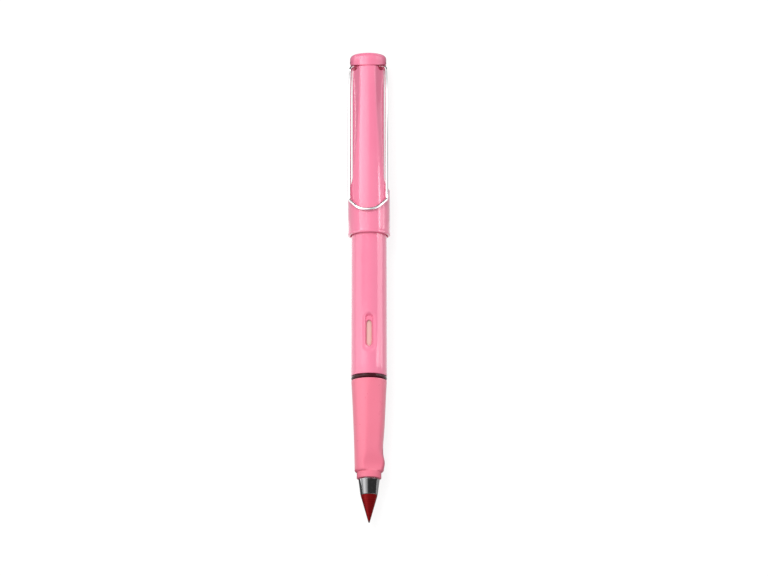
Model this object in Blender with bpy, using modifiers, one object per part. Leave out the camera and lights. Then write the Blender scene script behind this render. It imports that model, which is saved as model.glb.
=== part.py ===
"""Inkless pencil with its cap posted on the tail.

The pen lies on its back along Y: the nib points to -Y, the crown of the cap to +Y, and the
clip and the front window look up, to +Z. Every piece is modelled upright in its own frame,
with the axis of the pen on local Z, rising from the nib to the crown, and the front of the
pen on local -Y. The empty pen_axis then lays the whole pen down on the cap's mouth.

Lengths are in metres. A name that ends in _AT is a height on the axis above the nib's point,
and an angle round the axis is counted from the front of the pen towards its right side, +X.
"""

import math

import bmesh
import bpy

# Gaps between pieces that touch on the real pen
SEAT_GAP = 0.0003
PLUG_GAP = 0.0003

# Nib
NIB_CONE_LENGTH = 0.00965
NIB_POINT_RADIUS = 0.00025
NIB_STEP = 0.0001
NIB_SPIGOT_LENGTH = 0.0050

# Ferrule
FERRULE_LENGTH = 0.0053
FERRULE_FRONT_RADIUS = 0.0030
FERRULE_BACK_RADIUS = 0.00365
FERRULE_EDGE = 0.00012
FERRULE_STEM_LENGTH = 0.0095
FERRULE_STEM_WALL = 0.0008

# Barrel
BARREL_LENGTH = 0.06475
BARREL_FRONT_RADIUS = 0.00625
BARREL_TAIL_RADIUS = 0.0061
BARREL_WALL = 0.00135
BARREL_END_WALL = 0.0016
BARREL_TAIL_ROUND = 0.0012
BARREL_FRONT_ROUND = 0.00015

# Windows in the barrel, front and back
WINDOW_AT_BARREL = 0.0147
WINDOW_LENGTH = 0.0101
WINDOW_WIDTH = 0.0024
RECESS_MARGIN = 0.00135
RECESS_END_MARGIN = 0.0019
RECESS_DEPTH = 0.0008
RECESS_FILLET = 0.00045

# Grip
GRIP_LENGTH = 0.03445
GRIP_TOP_STEP = 0.0001
GRIP_TOP_ROUND = 0.0003
GRIP_NOSE_RADIUS = 0.0050
GRIP_FLARE_POWER = 1.5
GRIP_SHOULDER_ROUND = 0.0008
COLLAR_LENGTH = 0.00225
COLLAR_RADIUS = 0.00425
COLLAR_EDGE = 0.00015
TENON_LENGTH = 0.0104
TENON_WALL = 0.0017
NIPPLE_LENGTH = 0.0040

# Finger flats of the grip, the ridge between them and the lip at its nib end
FLAT_ANGLES = (math.radians(18.0), math.radians(148.0))
FLAT_LOW_DISTANCE = 0.00446
FLAT_SLOPE = 0.047
FLAT_LOW_HEIGHT = 0.0085
FLAT_RUN_OUT_LENGTH = 0.0080
FLAT_RUN_OUT_RISE = 0.0006
FLAT_EDGE_SHARPNESS = 30.0
SCOOP_HEIGHT = 0.0047
SCOOP_LENGTH = 0.0026
SCOOP_DEPTH = 0.00042
RIDGE_ANGLE = math.radians(83.0)
LIP_HEIGHT = 0.0056
LIP_LENGTH = 0.0020
LIP_RISE = 0.00048
WAIST_HEIGHT = 0.0112
WAIST_LENGTH = 0.0048
WAIST_DEPTH = 0.00030

# Ring between grip and barrel
RING_LENGTH = 0.00135
RING_STEP = 0.00005
RING_ROUND = 0.00025

# Inner sleeve behind the windows
SLEEVE_LENGTH = 0.0380
SLEEVE_WALL = 0.0006
SLEEVE_SIDE_GAP = 0.0005

# Cap shell
CAP_LENGTH = 0.0595
CAP_WALL = 0.0007
CAP_MOUTH_DEPTH = 0.0155
CAP_TOP_RADIUS = 0.00635
CAP_RIM_FLARE = 0.0001
CAP_RIM_LENGTH = 0.0014
CAP_RIM_ROUND = 0.00035
CAP_TOP_ROUND = 0.0002
CAP_FLAT_HALF_WIDTH = 0.00545
CAP_FLAT_WALL = 0.0006
CAP_SHOULDER_WALL = 0.0006
CAP_FLAT_RAMP_RADIUS = 0.0060
CAP_PLUG_DEPTH = 0.0110

# Swept facets on either side of the cap's front strip
FLANK_ANGLE = math.radians(60.0)
FLANK_TOP_DISTANCE = 0.00521
FLANK_SLOPE = 0.012
FLANK_SWEEP_RADIUS = 0.526

# Liner inside the cap, its mouth held clear of the barrel's tail
LINER_MOUTH_GAP = 0.0027
LINER_WALL = 0.0006
LINER_END_WALL = 0.0010

# Crown on top of the cap
CROWN_LENGTH = 0.0044
CROWN_STEP = 0.00003
CROWN_ROUND = 0.0014
CROWN_PLUG_RADIUS = 0.0034
CROWN_PLUG_LENGTH = 0.0085

# Wire clip
WIRE_RADIUS = 0.00055
CLIP_LENGTH = 0.05135
CLIP_LEG_GAP = 0.00055
CLIP_TOP_DRAW = 0.00065
CLIP_BOW_LENGTH = 0.0230
CLIP_FOOT_FORWARD = 0.0028
CLIP_FOOT_REACH = 0.0026
CLIP_FOOT_BEND = 0.0009
CLIP_CORNER_RADIUS = 0.0017
CLIP_TOE_DROP = 0.0057

# Fineness of the meshes
TURN_STEPS = 48
SMALL_TURN_STEPS = 32
ARC_STEPS = 4
GRIP_FINE_RINGS = 13
GRIP_COARSE_RINGS = 7
CLIP_LEG_STEPS = 12
FILLET_SEGMENTS = 3
MERGE_DISTANCE = 0.00001
CUT_MARGIN = 0.0020
CREASE_ANGLE = math.radians(30.0)
FILLET_EDGE_ANGLE = math.radians(60.0)

# A flat is felt only where its direction leans less than about 84 degrees off its own
LEAST_LEAN = 0.1

# Radii that follow from the walls, from the barrel inwards
BARREL_BORE = min(BARREL_FRONT_RADIUS, BARREL_TAIL_RADIUS) - BARREL_WALL
TENON_RADIUS = BARREL_BORE - PLUG_GAP
GRIP_BORE = TENON_RADIUS - TENON_WALL
STEM_RADIUS = GRIP_BORE - PLUG_GAP
STEM_BORE = STEM_RADIUS - FERRULE_STEM_WALL
SPIGOT_RADIUS = STEM_BORE - PLUG_GAP
NIB_BASE_RADIUS = FERRULE_FRONT_RADIUS - NIB_STEP
GRIP_TOP_RADIUS = BARREL_FRONT_RADIUS - GRIP_TOP_STEP
RING_RADIUS = BARREL_FRONT_RADIUS - RING_STEP
RING_BORE = TENON_RADIUS + PLUG_GAP
SLEEVE_RADIUS = BARREL_BORE - SLEEVE_SIDE_GAP
SLEEVE_BORE = SLEEVE_RADIUS - SLEEVE_WALL
NIPPLE_RADIUS = SLEEVE_BORE - PLUG_GAP

# Radii of the cap from the barrel outwards, and what lies inside it
CAP_MOUTH_BORE = max(BARREL_FRONT_RADIUS, BARREL_TAIL_RADIUS) + PLUG_GAP
CAP_RADIUS = CAP_MOUTH_BORE + CAP_WALL
CAP_UPPER_BORE = CAP_FLAT_HALF_WIDTH - CAP_FLAT_WALL
CAP_PLUG_BORE = CROWN_PLUG_RADIUS + PLUG_GAP
LINER_RADIUS = CAP_UPPER_BORE - PLUG_GAP
LINER_BORE = LINER_RADIUS - LINER_WALL
CROWN_RADIUS = CAP_TOP_RADIUS - CROWN_STEP
CAP_FLAT_START = CAP_MOUTH_DEPTH + CAP_SHOULDER_WALL
LINER_LENGTH = CAP_LENGTH - CAP_PLUG_DEPTH - SEAT_GAP - CAP_MOUTH_DEPTH - LINER_MOUTH_GAP
CLIP_WRAP_RADIUS = CAP_RADIUS + SEAT_GAP + WIRE_RADIUS
CLIP_LEG_SIDE = CAP_FLAT_HALF_WIDTH + CLIP_LEG_GAP + WIRE_RADIUS

# Heights on the axis, from the nib to the crown
FERRULE_AT = NIB_CONE_LENGTH + SEAT_GAP
GRIP_AT = FERRULE_AT + FERRULE_LENGTH + SEAT_GAP
RING_AT = GRIP_AT + GRIP_LENGTH + SEAT_GAP
BARREL_AT = RING_AT + RING_LENGTH + SEAT_GAP
CAP_AT = BARREL_AT + BARREL_LENGTH + SEAT_GAP - CAP_MOUTH_DEPTH
LINER_AT = CAP_AT + CAP_MOUTH_DEPTH + LINER_MOUTH_GAP
CROWN_AT = CAP_AT + CAP_LENGTH + SEAT_GAP
CLIP_FOOT_AT = CAP_AT + CAP_LENGTH - WIRE_RADIUS
SLEEVE_AT = GRIP_AT + GRIP_LENGTH + TENON_LENGTH + SEAT_GAP
TOTAL_LENGTH = CROWN_AT + CROWN_LENGTH
AXIS_HEIGHT = CAP_RADIUS + CAP_RIM_FLARE


def clear_scene():
    """Remove every object, so that the model is the only thing in the file."""
    for obj in list(bpy.data.objects):
        bpy.data.objects.remove(obj, do_unlink=True)


def new_collection(name):
    """Return a new collection linked to the scene."""
    collection = bpy.data.collections.new(name)
    bpy.context.scene.collection.children.link(collection)
    return collection


def plastic(name, colour, roughness, metallic=0.0):
    """Return a Principled material; colour is linear red, green and blue."""
    material = bpy.data.materials.new(name)
    material.use_nodes = True
    shader = material.node_tree.nodes["Principled BSDF"]
    shader.inputs["Base Color"].default_value = (*colour, 1.0)
    shader.inputs["Roughness"].default_value = roughness
    shader.inputs["Metallic"].default_value = metallic
    material.diffuse_color = (*colour, 1.0)
    return material


def quarter_round(radius, height, size, start, steps=ARC_STEPS):
    """Points of a quarter arc on a turned outline, round the centre (radius, height).

    The arc turns clockwise from the angle start, in quarter turns from the outward direction.
    """
    points = []
    for step in range(steps + 1):
        angle = (start - step / steps) * math.pi / 2.0
        points.append((radius + size * math.cos(angle), height + size * math.sin(angle)))
    return points


def turned(name, outline, collection, closed, steps=TURN_STEPS):
    """Turn an outline of (radius, height) points about local Z with a Screw modifier.

    The outline runs down the outer side from top to bottom. A closed one returns up the bore
    and makes a tube, and an open one starts and ends on the axis and makes a solid.
    """
    mesh = bpy.data.meshes.new(name)
    count = len(outline)
    edges = [(index, index + 1) for index in range(count - 1)]
    if closed:
        edges.append((count - 1, 0))
    mesh.from_pydata([(radius, 0.0, height) for radius, height in outline], edges, [])
    obj = bpy.data.objects.new(name, mesh)
    collection.objects.link(obj)
    screw = obj.modifiers.new("Turn", "SCREW")
    screw.axis = "Z"
    screw.angle = 2.0 * math.pi
    screw.steps = steps
    screw.render_steps = steps
    screw.use_merge_vertices = True
    screw.merge_threshold = MERGE_DISTANCE
    return obj


def prism(name, outline, half_thickness, collection):
    """Extrude a flat outline both ways along local Z and return it as one welded mesh."""
    curve = bpy.data.curves.new(name, "CURVE")
    curve.dimensions = "2D"
    curve.fill_mode = "BOTH"
    curve.extrude = half_thickness
    spline = curve.splines.new("POLY")
    spline.points.add(len(outline) - 1)
    for point, (across, along) in zip(spline.points, outline):
        point.co = (across, along, 0.0, 1.0)
    spline.use_cyclic_u = True
    obj = bpy.data.objects.new(name, curve)
    collection.objects.link(obj)
    return curve_to_mesh(obj, collection)


def curve_to_mesh(obj, collection):
    """Replace a curve object by a mesh object of the same name, its caps welded on."""
    bpy.context.view_layer.update()
    depsgraph = bpy.context.evaluated_depsgraph_get()
    mesh = bpy.data.meshes.new_from_object(obj.evaluated_get(depsgraph))
    weld = bmesh.new()
    weld.from_mesh(mesh)
    bmesh.ops.remove_doubles(weld, verts=weld.verts, dist=MERGE_DISTANCE)
    bmesh.ops.recalc_face_normals(weld, faces=weld.faces)
    weld.to_mesh(mesh)
    weld.free()
    solid = bpy.data.objects.new(obj.name, mesh)
    solid.matrix_world = obj.matrix_world
    name = obj.name
    bpy.data.objects.remove(obj, do_unlink=True)
    solid.name = name
    collection.objects.link(solid)
    return solid


def stadium(length, width, steps=3 * ARC_STEPS):
    """Outline of a slot with half-round ends, its length along the second coordinate."""
    radius = width / 2.0
    reach = length / 2.0 - radius
    points = []
    for end, first in ((reach, 0.0), (-reach, math.pi)):
        for step in range(steps + 1):
            angle = first + math.pi * step / steps
            points.append((radius * math.cos(angle), end + radius * math.sin(angle)))
    return points


def cut(obj, cutter):
    """Cut the cutter out of the object and hide the cutter."""
    cutter.hide_render = True
    cutter.display_type = "WIRE"
    boolean = obj.modifiers.new(f"Cut {cutter.name}", "BOOLEAN")
    boolean.operation = "DIFFERENCE"
    boolean.solver = "EXACT"
    boolean.object = cutter


def settle(obj, material):
    """Apply the modifiers, shade the round faces smooth and give the piece its material."""
    bpy.context.view_layer.update()
    depsgraph = bpy.context.evaluated_depsgraph_get()
    mesh = bpy.data.meshes.new_from_object(obj.evaluated_get(depsgraph))
    obj.modifiers.clear()
    obj.data = mesh
    mesh.materials.clear()
    mesh.materials.append(material)
    mesh.shade_smooth()
    mesh.set_sharp_from_angle(angle=CREASE_ANGLE)


def place(obj, parent, height, forward=0.0):
    """Seat a piece's origin at a height above the nib's point, on or forward of the axis."""
    obj.parent = parent
    obj.location = (0.0, -forward, height)


def stand_outline(cutter, angle):
    """Stand a prism's outline on the pen: its first axis points out at angle, its second up."""
    cutter.rotation_euler = (math.pi / 2.0, 0.0, angle - math.pi / 2.0)


def nib_tip(parts):
    """Solid nib: a cone with a blunt point, and the spigot that the ferrule holds."""
    slope = math.atan2(NIB_BASE_RADIUS - NIB_POINT_RADIUS, NIB_CONE_LENGTH)
    top = NIB_CONE_LENGTH + NIB_SPIGOT_LENGTH
    outline = [(0.0, top), (SPIGOT_RADIUS, top), (SPIGOT_RADIUS, NIB_CONE_LENGTH),
               (NIB_BASE_RADIUS, NIB_CONE_LENGTH)]
    for step in range(ARC_STEPS):
        angle = -slope - (math.pi / 2.0 - slope) * step / ARC_STEPS
        outline.append((NIB_POINT_RADIUS * math.cos(angle),
                        NIB_POINT_RADIUS * (1.0 + math.sin(angle))))
    outline.append((0.0, 0.0))
    return turned("nib_tip", outline, parts, closed=False, steps=SMALL_TURN_STEPS)


def nib_ferrule(parts):
    """Tapered ferrule round the nib's spigot, with the stem that screws into the grip."""
    back = FERRULE_LENGTH
    top = back + FERRULE_STEM_LENGTH
    outline = [(STEM_BORE, top), (STEM_RADIUS, top), (STEM_RADIUS, back),
               (FERRULE_BACK_RADIUS - FERRULE_EDGE, back),
               (FERRULE_BACK_RADIUS, back - FERRULE_EDGE),
               (FERRULE_FRONT_RADIUS, FERRULE_EDGE),
               (FERRULE_FRONT_RADIUS - FERRULE_EDGE, 0.0), (STEM_BORE, 0.0)]
    return turned("nib_ferrule", outline, parts, closed=True, steps=SMALL_TURN_STEPS)


def bump(height, centre, length):
    """A smooth hump of unit height along the axis."""
    return math.exp(-((height - centre) / length) ** 2)


def grip_radius(height, angle):
    """Radius of the moulded grip above its collar, with its flats, ridge, lip and waist.

    Args:
        height: Height above the front face of the collar.
        angle: Angle round the axis, from the front towards the right side.
    """
    rise = (height - COLLAR_LENGTH) / (GRIP_LENGTH - COLLAR_LENGTH)
    radius = GRIP_NOSE_RADIUS + (GRIP_TOP_RADIUS - GRIP_NOSE_RADIUS) * rise ** GRIP_FLARE_POWER
    on_ridge = max(0.0, math.cos(angle - RIDGE_ANGLE)) ** 2
    radius += on_ridge * LIP_RISE * bump(height, LIP_HEIGHT, LIP_LENGTH)
    radius -= on_ridge * WAIST_DEPTH * bump(height, WAIST_HEIGHT, WAIST_LENGTH)
    distance = FLAT_LOW_DISTANCE + FLAT_SLOPE * (height - FLAT_LOW_HEIGHT)
    distance -= SCOOP_DEPTH * bump(height, SCOOP_HEIGHT, SCOOP_LENGTH)
    run_out = max(0.0, height - GRIP_LENGTH + FLAT_RUN_OUT_LENGTH) / FLAT_RUN_OUT_LENGTH
    distance += FLAT_RUN_OUT_RISE * run_out ** 2
    blend = radius ** -FLAT_EDGE_SHARPNESS
    for flat_angle in FLAT_ANGLES:
        lean = math.cos(angle - flat_angle)
        if lean > LEAST_LEAN:
            blend += (distance / lean) ** -FLAT_EDGE_SHARPNESS
    return blend ** (-1.0 / FLAT_EDGE_SHARPNESS)


def grip_rings():
    """Heights and radius rules of the grip's rings, up its outside and back down its bore."""
    tenon_top = GRIP_LENGTH + TENON_LENGTH
    rings = [(0.0, COLLAR_RADIUS - COLLAR_EDGE), (COLLAR_EDGE, COLLAR_RADIUS),
             (COLLAR_LENGTH, COLLAR_RADIUS)]
    for step in range(1, ARC_STEPS + 1):
        angle = math.pi / 2.0 * step / ARC_STEPS
        rings.append((COLLAR_LENGTH + GRIP_SHOULDER_ROUND * (1.0 - math.cos(angle)),
                      ("shoulder", math.sin(angle))))
    low = COLLAR_LENGTH + GRIP_SHOULDER_ROUND
    high = GRIP_LENGTH - GRIP_TOP_ROUND
    middle = WAIST_HEIGHT + WAIST_LENGTH
    for start, end, count in ((low, middle, GRIP_FINE_RINGS), (middle, high, GRIP_COARSE_RINGS)):
        for step in range(1, count + 1):
            rings.append((start + (end - start) * step / count, ("shoulder", 1.0)))
    rings += [(GRIP_LENGTH, GRIP_TOP_RADIUS - GRIP_TOP_ROUND), (GRIP_LENGTH, TENON_RADIUS),
              (tenon_top, TENON_RADIUS), (tenon_top, NIPPLE_RADIUS),
              (tenon_top + NIPPLE_LENGTH, NIPPLE_RADIUS),
              (tenon_top + NIPPLE_LENGTH, GRIP_BORE), (0.0, GRIP_BORE)]
    return rings


def ring_radius(height, rule, angle):
    """Radius of one point of a ring: a plain number, or a share of the moulded section."""
    if not isinstance(rule, tuple):
        return rule
    moulded = grip_radius(height, angle)
    return COLLAR_RADIUS + (moulded - COLLAR_RADIUS) * rule[1]


def grip_section(parts):
    """Moulded grip, lofted through unlike sections from its round collar to its tenon."""
    loft = bmesh.new()
    loops = []
    for height, rule in grip_rings():
        loop = []
        for step in range(TURN_STEPS):
            angle = 2.0 * math.pi * step / TURN_STEPS
            radius = ring_radius(height, rule, angle)
            loop.append(loft.verts.new((radius * math.sin(angle), -radius * math.cos(angle),
                                        height)))
        loops.append(loop)
    for lower, upper in zip(loops, loops[1:] + loops[:1]):
        for step in range(TURN_STEPS):
            beside = (step + 1) % TURN_STEPS
            loft.faces.new((lower[step], lower[beside], upper[beside], upper[step]))
    bmesh.ops.recalc_face_normals(loft, faces=loft.faces)
    mesh = bpy.data.meshes.new("grip_section")
    loft.to_mesh(mesh)
    loft.free()
    obj = bpy.data.objects.new("grip_section", mesh)
    parts.objects.link(obj)
    return obj


def joint_ring(parts):
    """Dark ring that sits on the tenon between grip and barrel."""
    edge = RING_RADIUS - RING_ROUND
    outline = [(RING_BORE, RING_LENGTH)]
    outline += quarter_round(edge, RING_LENGTH - RING_ROUND, RING_ROUND, 1.0)
    outline += quarter_round(edge, RING_ROUND, RING_ROUND, 0.0)
    outline.append((RING_BORE, 0.0))
    return turned("joint_ring", outline, parts, closed=True)


def inner_sleeve(parts):
    """Cream sleeve on the grip's rear nipple, seen through the windows."""
    outline = [(SLEEVE_BORE, SLEEVE_LENGTH), (SLEEVE_RADIUS, SLEEVE_LENGTH),
               (SLEEVE_RADIUS, 0.0), (SLEEVE_BORE, 0.0)]
    return turned("inner_sleeve", outline, parts, closed=True, steps=SMALL_TURN_STEPS)


def barrel_radius(height):
    """Outer radius of the barrel, which tapers a little towards its tail."""
    share = height / BARREL_LENGTH
    return BARREL_FRONT_RADIUS + (BARREL_TAIL_RADIUS - BARREL_FRONT_RADIUS) * share


def barrel(parts, cutters):
    """Barrel tube with a closed tail, and a window in a scooped recess front and back."""
    tail = BARREL_LENGTH
    edge = BARREL_TAIL_RADIUS - BARREL_TAIL_ROUND
    floor = tail - BARREL_END_WALL
    outline = [(0.0, tail)]
    outline += quarter_round(edge, tail - BARREL_TAIL_ROUND, BARREL_TAIL_ROUND, 1.0)
    outline += [(BARREL_FRONT_RADIUS, BARREL_FRONT_ROUND),
                (BARREL_FRONT_RADIUS - BARREL_FRONT_ROUND, 0.0),
                (BARREL_BORE, 0.0), (BARREL_BORE, floor), (0.0, floor)]
    tube = turned("barrel", outline, parts, closed=False)
    middle = WINDOW_AT_BARREL
    surface = barrel_radius(middle)
    for side, angle in (("front", 0.0), ("back", math.pi)):
        slot = prism(f"window_slot_{side}", stadium(WINDOW_LENGTH, WINDOW_WIDTH),
                     surface / 2.0, cutters)
        recess = prism(f"window_recess_{side}",
                       stadium(WINDOW_LENGTH + 2.0 * RECESS_END_MARGIN,
                               WINDOW_WIDTH + 2.0 * RECESS_MARGIN),
                       CUT_MARGIN, cutters)
        fillet = recess.modifiers.new("Floor fillet", "BEVEL")
        fillet.width = RECESS_FILLET
        fillet.segments = FILLET_SEGMENTS
        fillet.limit_method = "ANGLE"
        fillet.angle_limit = FILLET_EDGE_ANGLE
        for cutter, distance in ((slot, surface), (recess, surface - RECESS_DEPTH + CUT_MARGIN)):
            cutter.parent = tube
            cutter.rotation_euler = (math.pi / 2.0, 0.0, angle)
            cutter.location = (distance * math.sin(angle), -distance * math.cos(angle), middle)
            cut(tube, cutter)
    return tube


def cap_outline():
    """Outline of the cap before its flats are cut: rim, round mouth, taper and three bores."""
    top = CAP_LENGTH
    flare = CAP_RADIUS + CAP_RIM_FLARE
    step_height = CAP_MOUTH_DEPTH
    plug_floor = top - CAP_PLUG_DEPTH
    outline = [(CAP_PLUG_BORE, top), (CAP_TOP_RADIUS - CAP_TOP_ROUND, top),
               (CAP_TOP_RADIUS, top - CAP_TOP_ROUND),
               (CAP_RADIUS, CAP_FLAT_START), (CAP_RADIUS, CAP_RIM_LENGTH),
               (flare, CAP_RIM_LENGTH / 2.0)]
    outline += quarter_round(flare - CAP_RIM_ROUND, CAP_RIM_ROUND, CAP_RIM_ROUND, 0.0)
    outline += [(CAP_MOUTH_BORE, 0.0), (CAP_MOUTH_BORE, step_height),
                (CAP_UPPER_BORE, step_height), (CAP_UPPER_BORE, plug_floor),
                (CAP_PLUG_BORE, plug_floor)]
    return outline


def side_flat_outline():
    """Outline that cuts a side flat: a straight floor with a concave ramp at its low end."""
    floor = CAP_FLAT_HALF_WIDTH
    ramp = CAP_FLAT_RAMP_RADIUS
    outer = CAP_RADIUS + CUT_MARGIN
    rise = CAP_RADIUS - floor
    sweep = math.acos(1.0 - rise / ramp)
    centre_height = CAP_FLAT_START + ramp * math.sin(sweep)
    points = [(outer, CAP_LENGTH + CUT_MARGIN), (floor, CAP_LENGTH + CUT_MARGIN)]
    steps = 2 * ARC_STEPS
    for step in range(steps + 1):
        angle = sweep * step / steps
        points.append((floor + ramp * (1.0 - math.cos(angle)),
                       centre_height - ramp * math.sin(angle)))
    points.append((outer, CAP_FLAT_START))
    return points


def flank_outline():
    """Outline that cuts a flank facet: a long sweep that runs out below the cap's middle."""
    outer = CAP_RADIUS + CUT_MARGIN
    points = [(outer, CAP_LENGTH + CUT_MARGIN), (FLANK_TOP_DISTANCE, CAP_LENGTH + CUT_MARGIN)]
    steps = 3 * ARC_STEPS
    run = CAP_LENGTH - CAP_FLAT_START
    for step in range(steps + 1):
        down = run * step / steps
        distance = FLANK_TOP_DISTANCE + FLANK_SLOPE * down + down ** 2 / (2.0 * FLANK_SWEEP_RADIUS)
        points.append((distance, CAP_LENGTH - down))
    points.append((max(outer, points[-1][0] + CUT_MARGIN), CAP_FLAT_START))
    return points


def notch_outline():
    """Outline of the open notch for the clip's feet, seen along the feet."""
    radius = WIRE_RADIUS + SEAT_GAP
    centre = CAP_LENGTH - WIRE_RADIUS
    points = [(CLIP_FOOT_FORWARD + radius, CAP_LENGTH + CUT_MARGIN),
              (CLIP_FOOT_FORWARD - radius, CAP_LENGTH + CUT_MARGIN)]
    steps = 2 * ARC_STEPS
    for step in range(steps + 1):
        angle = math.pi + math.pi * step / steps
        points.append((CLIP_FOOT_FORWARD + radius * math.cos(angle),
                       centre + radius * math.sin(angle)))
    return points


def cap_shell(parts, cutters):
    """Cap with two side flats, two swept flank facets and the notches for the clip."""
    shell = turned("cap_shell", cap_outline(), parts, closed=True)
    reach = 2.0 * CAP_RADIUS
    right_angle = math.pi / 2.0
    cuts = [("cap_flat_right", side_flat_outline(), right_angle, reach),
            ("cap_flat_left", side_flat_outline(), -right_angle, reach),
            ("cap_flank_right", flank_outline(), FLANK_ANGLE, CAP_RADIUS),
            ("cap_flank_left", flank_outline(), -FLANK_ANGLE, CAP_RADIUS),
            ("clip_notches", notch_outline(), 0.0, reach)]
    for name, outline, angle, half_thickness in cuts:
        cutter = prism(name, outline, half_thickness, cutters)
        cutter.parent = shell
        stand_outline(cutter, angle)
        cut(shell, cutter)
    return shell


def cap_liner(parts):
    """Inner cap: a thin cup, open towards the mouth, that takes the nib when capped."""
    floor = LINER_LENGTH - LINER_END_WALL
    outline = [(0.0, LINER_LENGTH), (LINER_RADIUS, LINER_LENGTH), (LINER_RADIUS, 0.0),
               (LINER_BORE, 0.0), (LINER_BORE, floor), (0.0, floor)]
    return turned("cap_liner", outline, parts, closed=False, steps=SMALL_TURN_STEPS)


def cap_crown(parts):
    """Round-edged disc on top of the cap, with the plug that traps the clip's feet."""
    edge = CROWN_RADIUS - CROWN_ROUND
    outline = [(0.0, CROWN_LENGTH)]
    outline += quarter_round(edge, CROWN_LENGTH - CROWN_ROUND, CROWN_ROUND, 1.0)
    outline += [(CROWN_RADIUS, 0.0), (CROWN_PLUG_RADIUS, 0.0),
                (CROWN_PLUG_RADIUS, -CROWN_PLUG_LENGTH), (0.0, -CROWN_PLUG_LENGTH)]
    return turned("cap_crown", outline, parts, closed=False)


def clip_half():
    """Centre line of the right half of the clip, from its foot to the middle of its toe.

    Returns:
        Points (across, forward, height); height is measured from the feet.
    """
    top_side = CLIP_LEG_SIDE - CLIP_TOP_DRAW
    bend = CLIP_FOOT_BEND
    points = [(top_side - CLIP_FOOT_REACH, CLIP_FOOT_FORWARD, 0.0)]
    for step in range(ARC_STEPS + 1):
        angle = math.pi / 2.0 * step / ARC_STEPS
        points.append((top_side - bend + bend * math.sin(angle), CLIP_FOOT_FORWARD,
                       -bend + bend * math.cos(angle)))
    leg_end = -CLIP_LENGTH + CLIP_TOE_DROP
    wrap = CLIP_WRAP_RADIUS
    wrap_side = wrap * math.asin(CLIP_LEG_SIDE / wrap)
    corner_forward = wrap * math.cos(wrap_side / wrap)
    for step in range(1, CLIP_LEG_STEPS + 1):
        height = -bend + (leg_end + bend) * step / CLIP_LEG_STEPS
        down = (-bend - height) / (-bend - leg_end)
        bow = min(1.0, (-bend - height) / CLIP_BOW_LENGTH)
        side = top_side + CLIP_TOP_DRAW * math.sin(bow * math.pi / 2.0)
        forward = CLIP_FOOT_FORWARD + (corner_forward - CLIP_FOOT_FORWARD) * down
        points.append((side, forward, height))
    for around, height in toe_curve(wrap_side, leg_end):
        points.append((wrap * math.sin(around / wrap), wrap * math.cos(around / wrap), height))
    return points


def toe_curve(wrap_side, leg_end):
    """Corner and toe of the clip, drawn flat before they are wrapped round the cap.

    A corner arc leads from the leg into the larger arc of the toe, and the two share a
    tangent. Yields (distance round the cap, height), down to the middle of the toe.
    """
    corner = CLIP_CORNER_RADIUS
    inset = wrap_side - corner
    drop = CLIP_TOE_DROP
    toe = (inset ** 2 + drop ** 2 - corner ** 2) / (2.0 * (drop - corner))
    turn = math.pi / 2.0 - math.asin(inset / (toe - corner))
    points = []
    for step in range(1, ARC_STEPS + 1):
        angle = turn * step / ARC_STEPS
        points.append((inset + corner * math.cos(angle), leg_end - corner * math.sin(angle)))
    toe_centre = leg_end - drop + toe
    toe_steps = 2 * ARC_STEPS
    remaining = math.pi / 2.0 - turn
    for step in range(1, toe_steps + 1):
        angle = turn + remaining * step / toe_steps
        points.append((toe * math.cos(angle), toe_centre - toe * math.sin(angle)))
    return points


def cap_clip(parts):
    """Wire clip: two feet, two bowed legs and a toe that wraps the front of the cap."""
    half = clip_half()
    centre_line = half + [(-side, forward, height) for side, forward, height in half[-2::-1]]
    curve = bpy.data.curves.new("cap_clip", "CURVE")
    curve.dimensions = "3D"
    curve.bevel_depth = WIRE_RADIUS
    curve.bevel_resolution = 2
    curve.use_fill_caps = True
    spline = curve.splines.new("POLY")
    spline.points.add(len(centre_line) - 1)
    for point, (side, forward, height) in zip(spline.points, centre_line):
        point.co = (side, CLIP_FOOT_FORWARD - forward, height, 1.0)
    obj = bpy.data.objects.new("cap_clip", curve)
    parts.objects.link(obj)
    return curve_to_mesh(obj, parts)


def build():
    """Make every piece and lay the pen down."""
    clear_scene()
    parts = new_collection("inkless_pencil")
    cutters = new_collection("cutters")
    pink = plastic("pink_plastic", (0.98, 0.27, 0.42), 0.22)
    pink_grip = plastic("pink_grip_plastic", (0.98, 0.25, 0.38), 0.30)
    dark = plastic("dark_ring_plastic", (0.02, 0.004, 0.008), 0.15)
    cream = plastic("cream_plastic", (0.86, 0.62, 0.52), 0.45)
    white = plastic("white_plastic", (0.80, 0.80, 0.78), 0.40)
    chrome = plastic("chrome", (0.78, 0.78, 0.78), 0.08, 1.0)
    alloy = plastic("red_alloy", (0.26, 0.004, 0.006), 0.35, 0.4)

    pen_axis = bpy.data.objects.new("pen_axis", None)
    parts.objects.link(pen_axis)
    pen_axis.location = (0.0, -TOTAL_LENGTH / 2.0, AXIS_HEIGHT)
    pen_axis.rotation_euler = (-math.pi / 2.0, 0.0, 0.0)

    pieces = [(nib_tip(parts), alloy, 0.0, 0.0),
              (nib_ferrule(parts), chrome, FERRULE_AT, 0.0),
              (grip_section(parts), pink_grip, GRIP_AT, 0.0),
              (joint_ring(parts), dark, RING_AT, 0.0),
              (barrel(parts, cutters), pink, BARREL_AT, 0.0),
              (inner_sleeve(parts), cream, SLEEVE_AT, 0.0),
              (cap_shell(parts, cutters), pink, CAP_AT, 0.0),
              (cap_liner(parts), white, LINER_AT, 0.0),
              (cap_crown(parts), pink, CROWN_AT, 0.0),
              (cap_clip(parts), chrome, CLIP_FOOT_AT, CLIP_FOOT_FORWARD)]
    for piece, material, height, forward in pieces:
        settle(piece, material)
        place(piece, pen_axis, height, forward)
    bpy.context.view_layer.update()


build()
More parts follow.
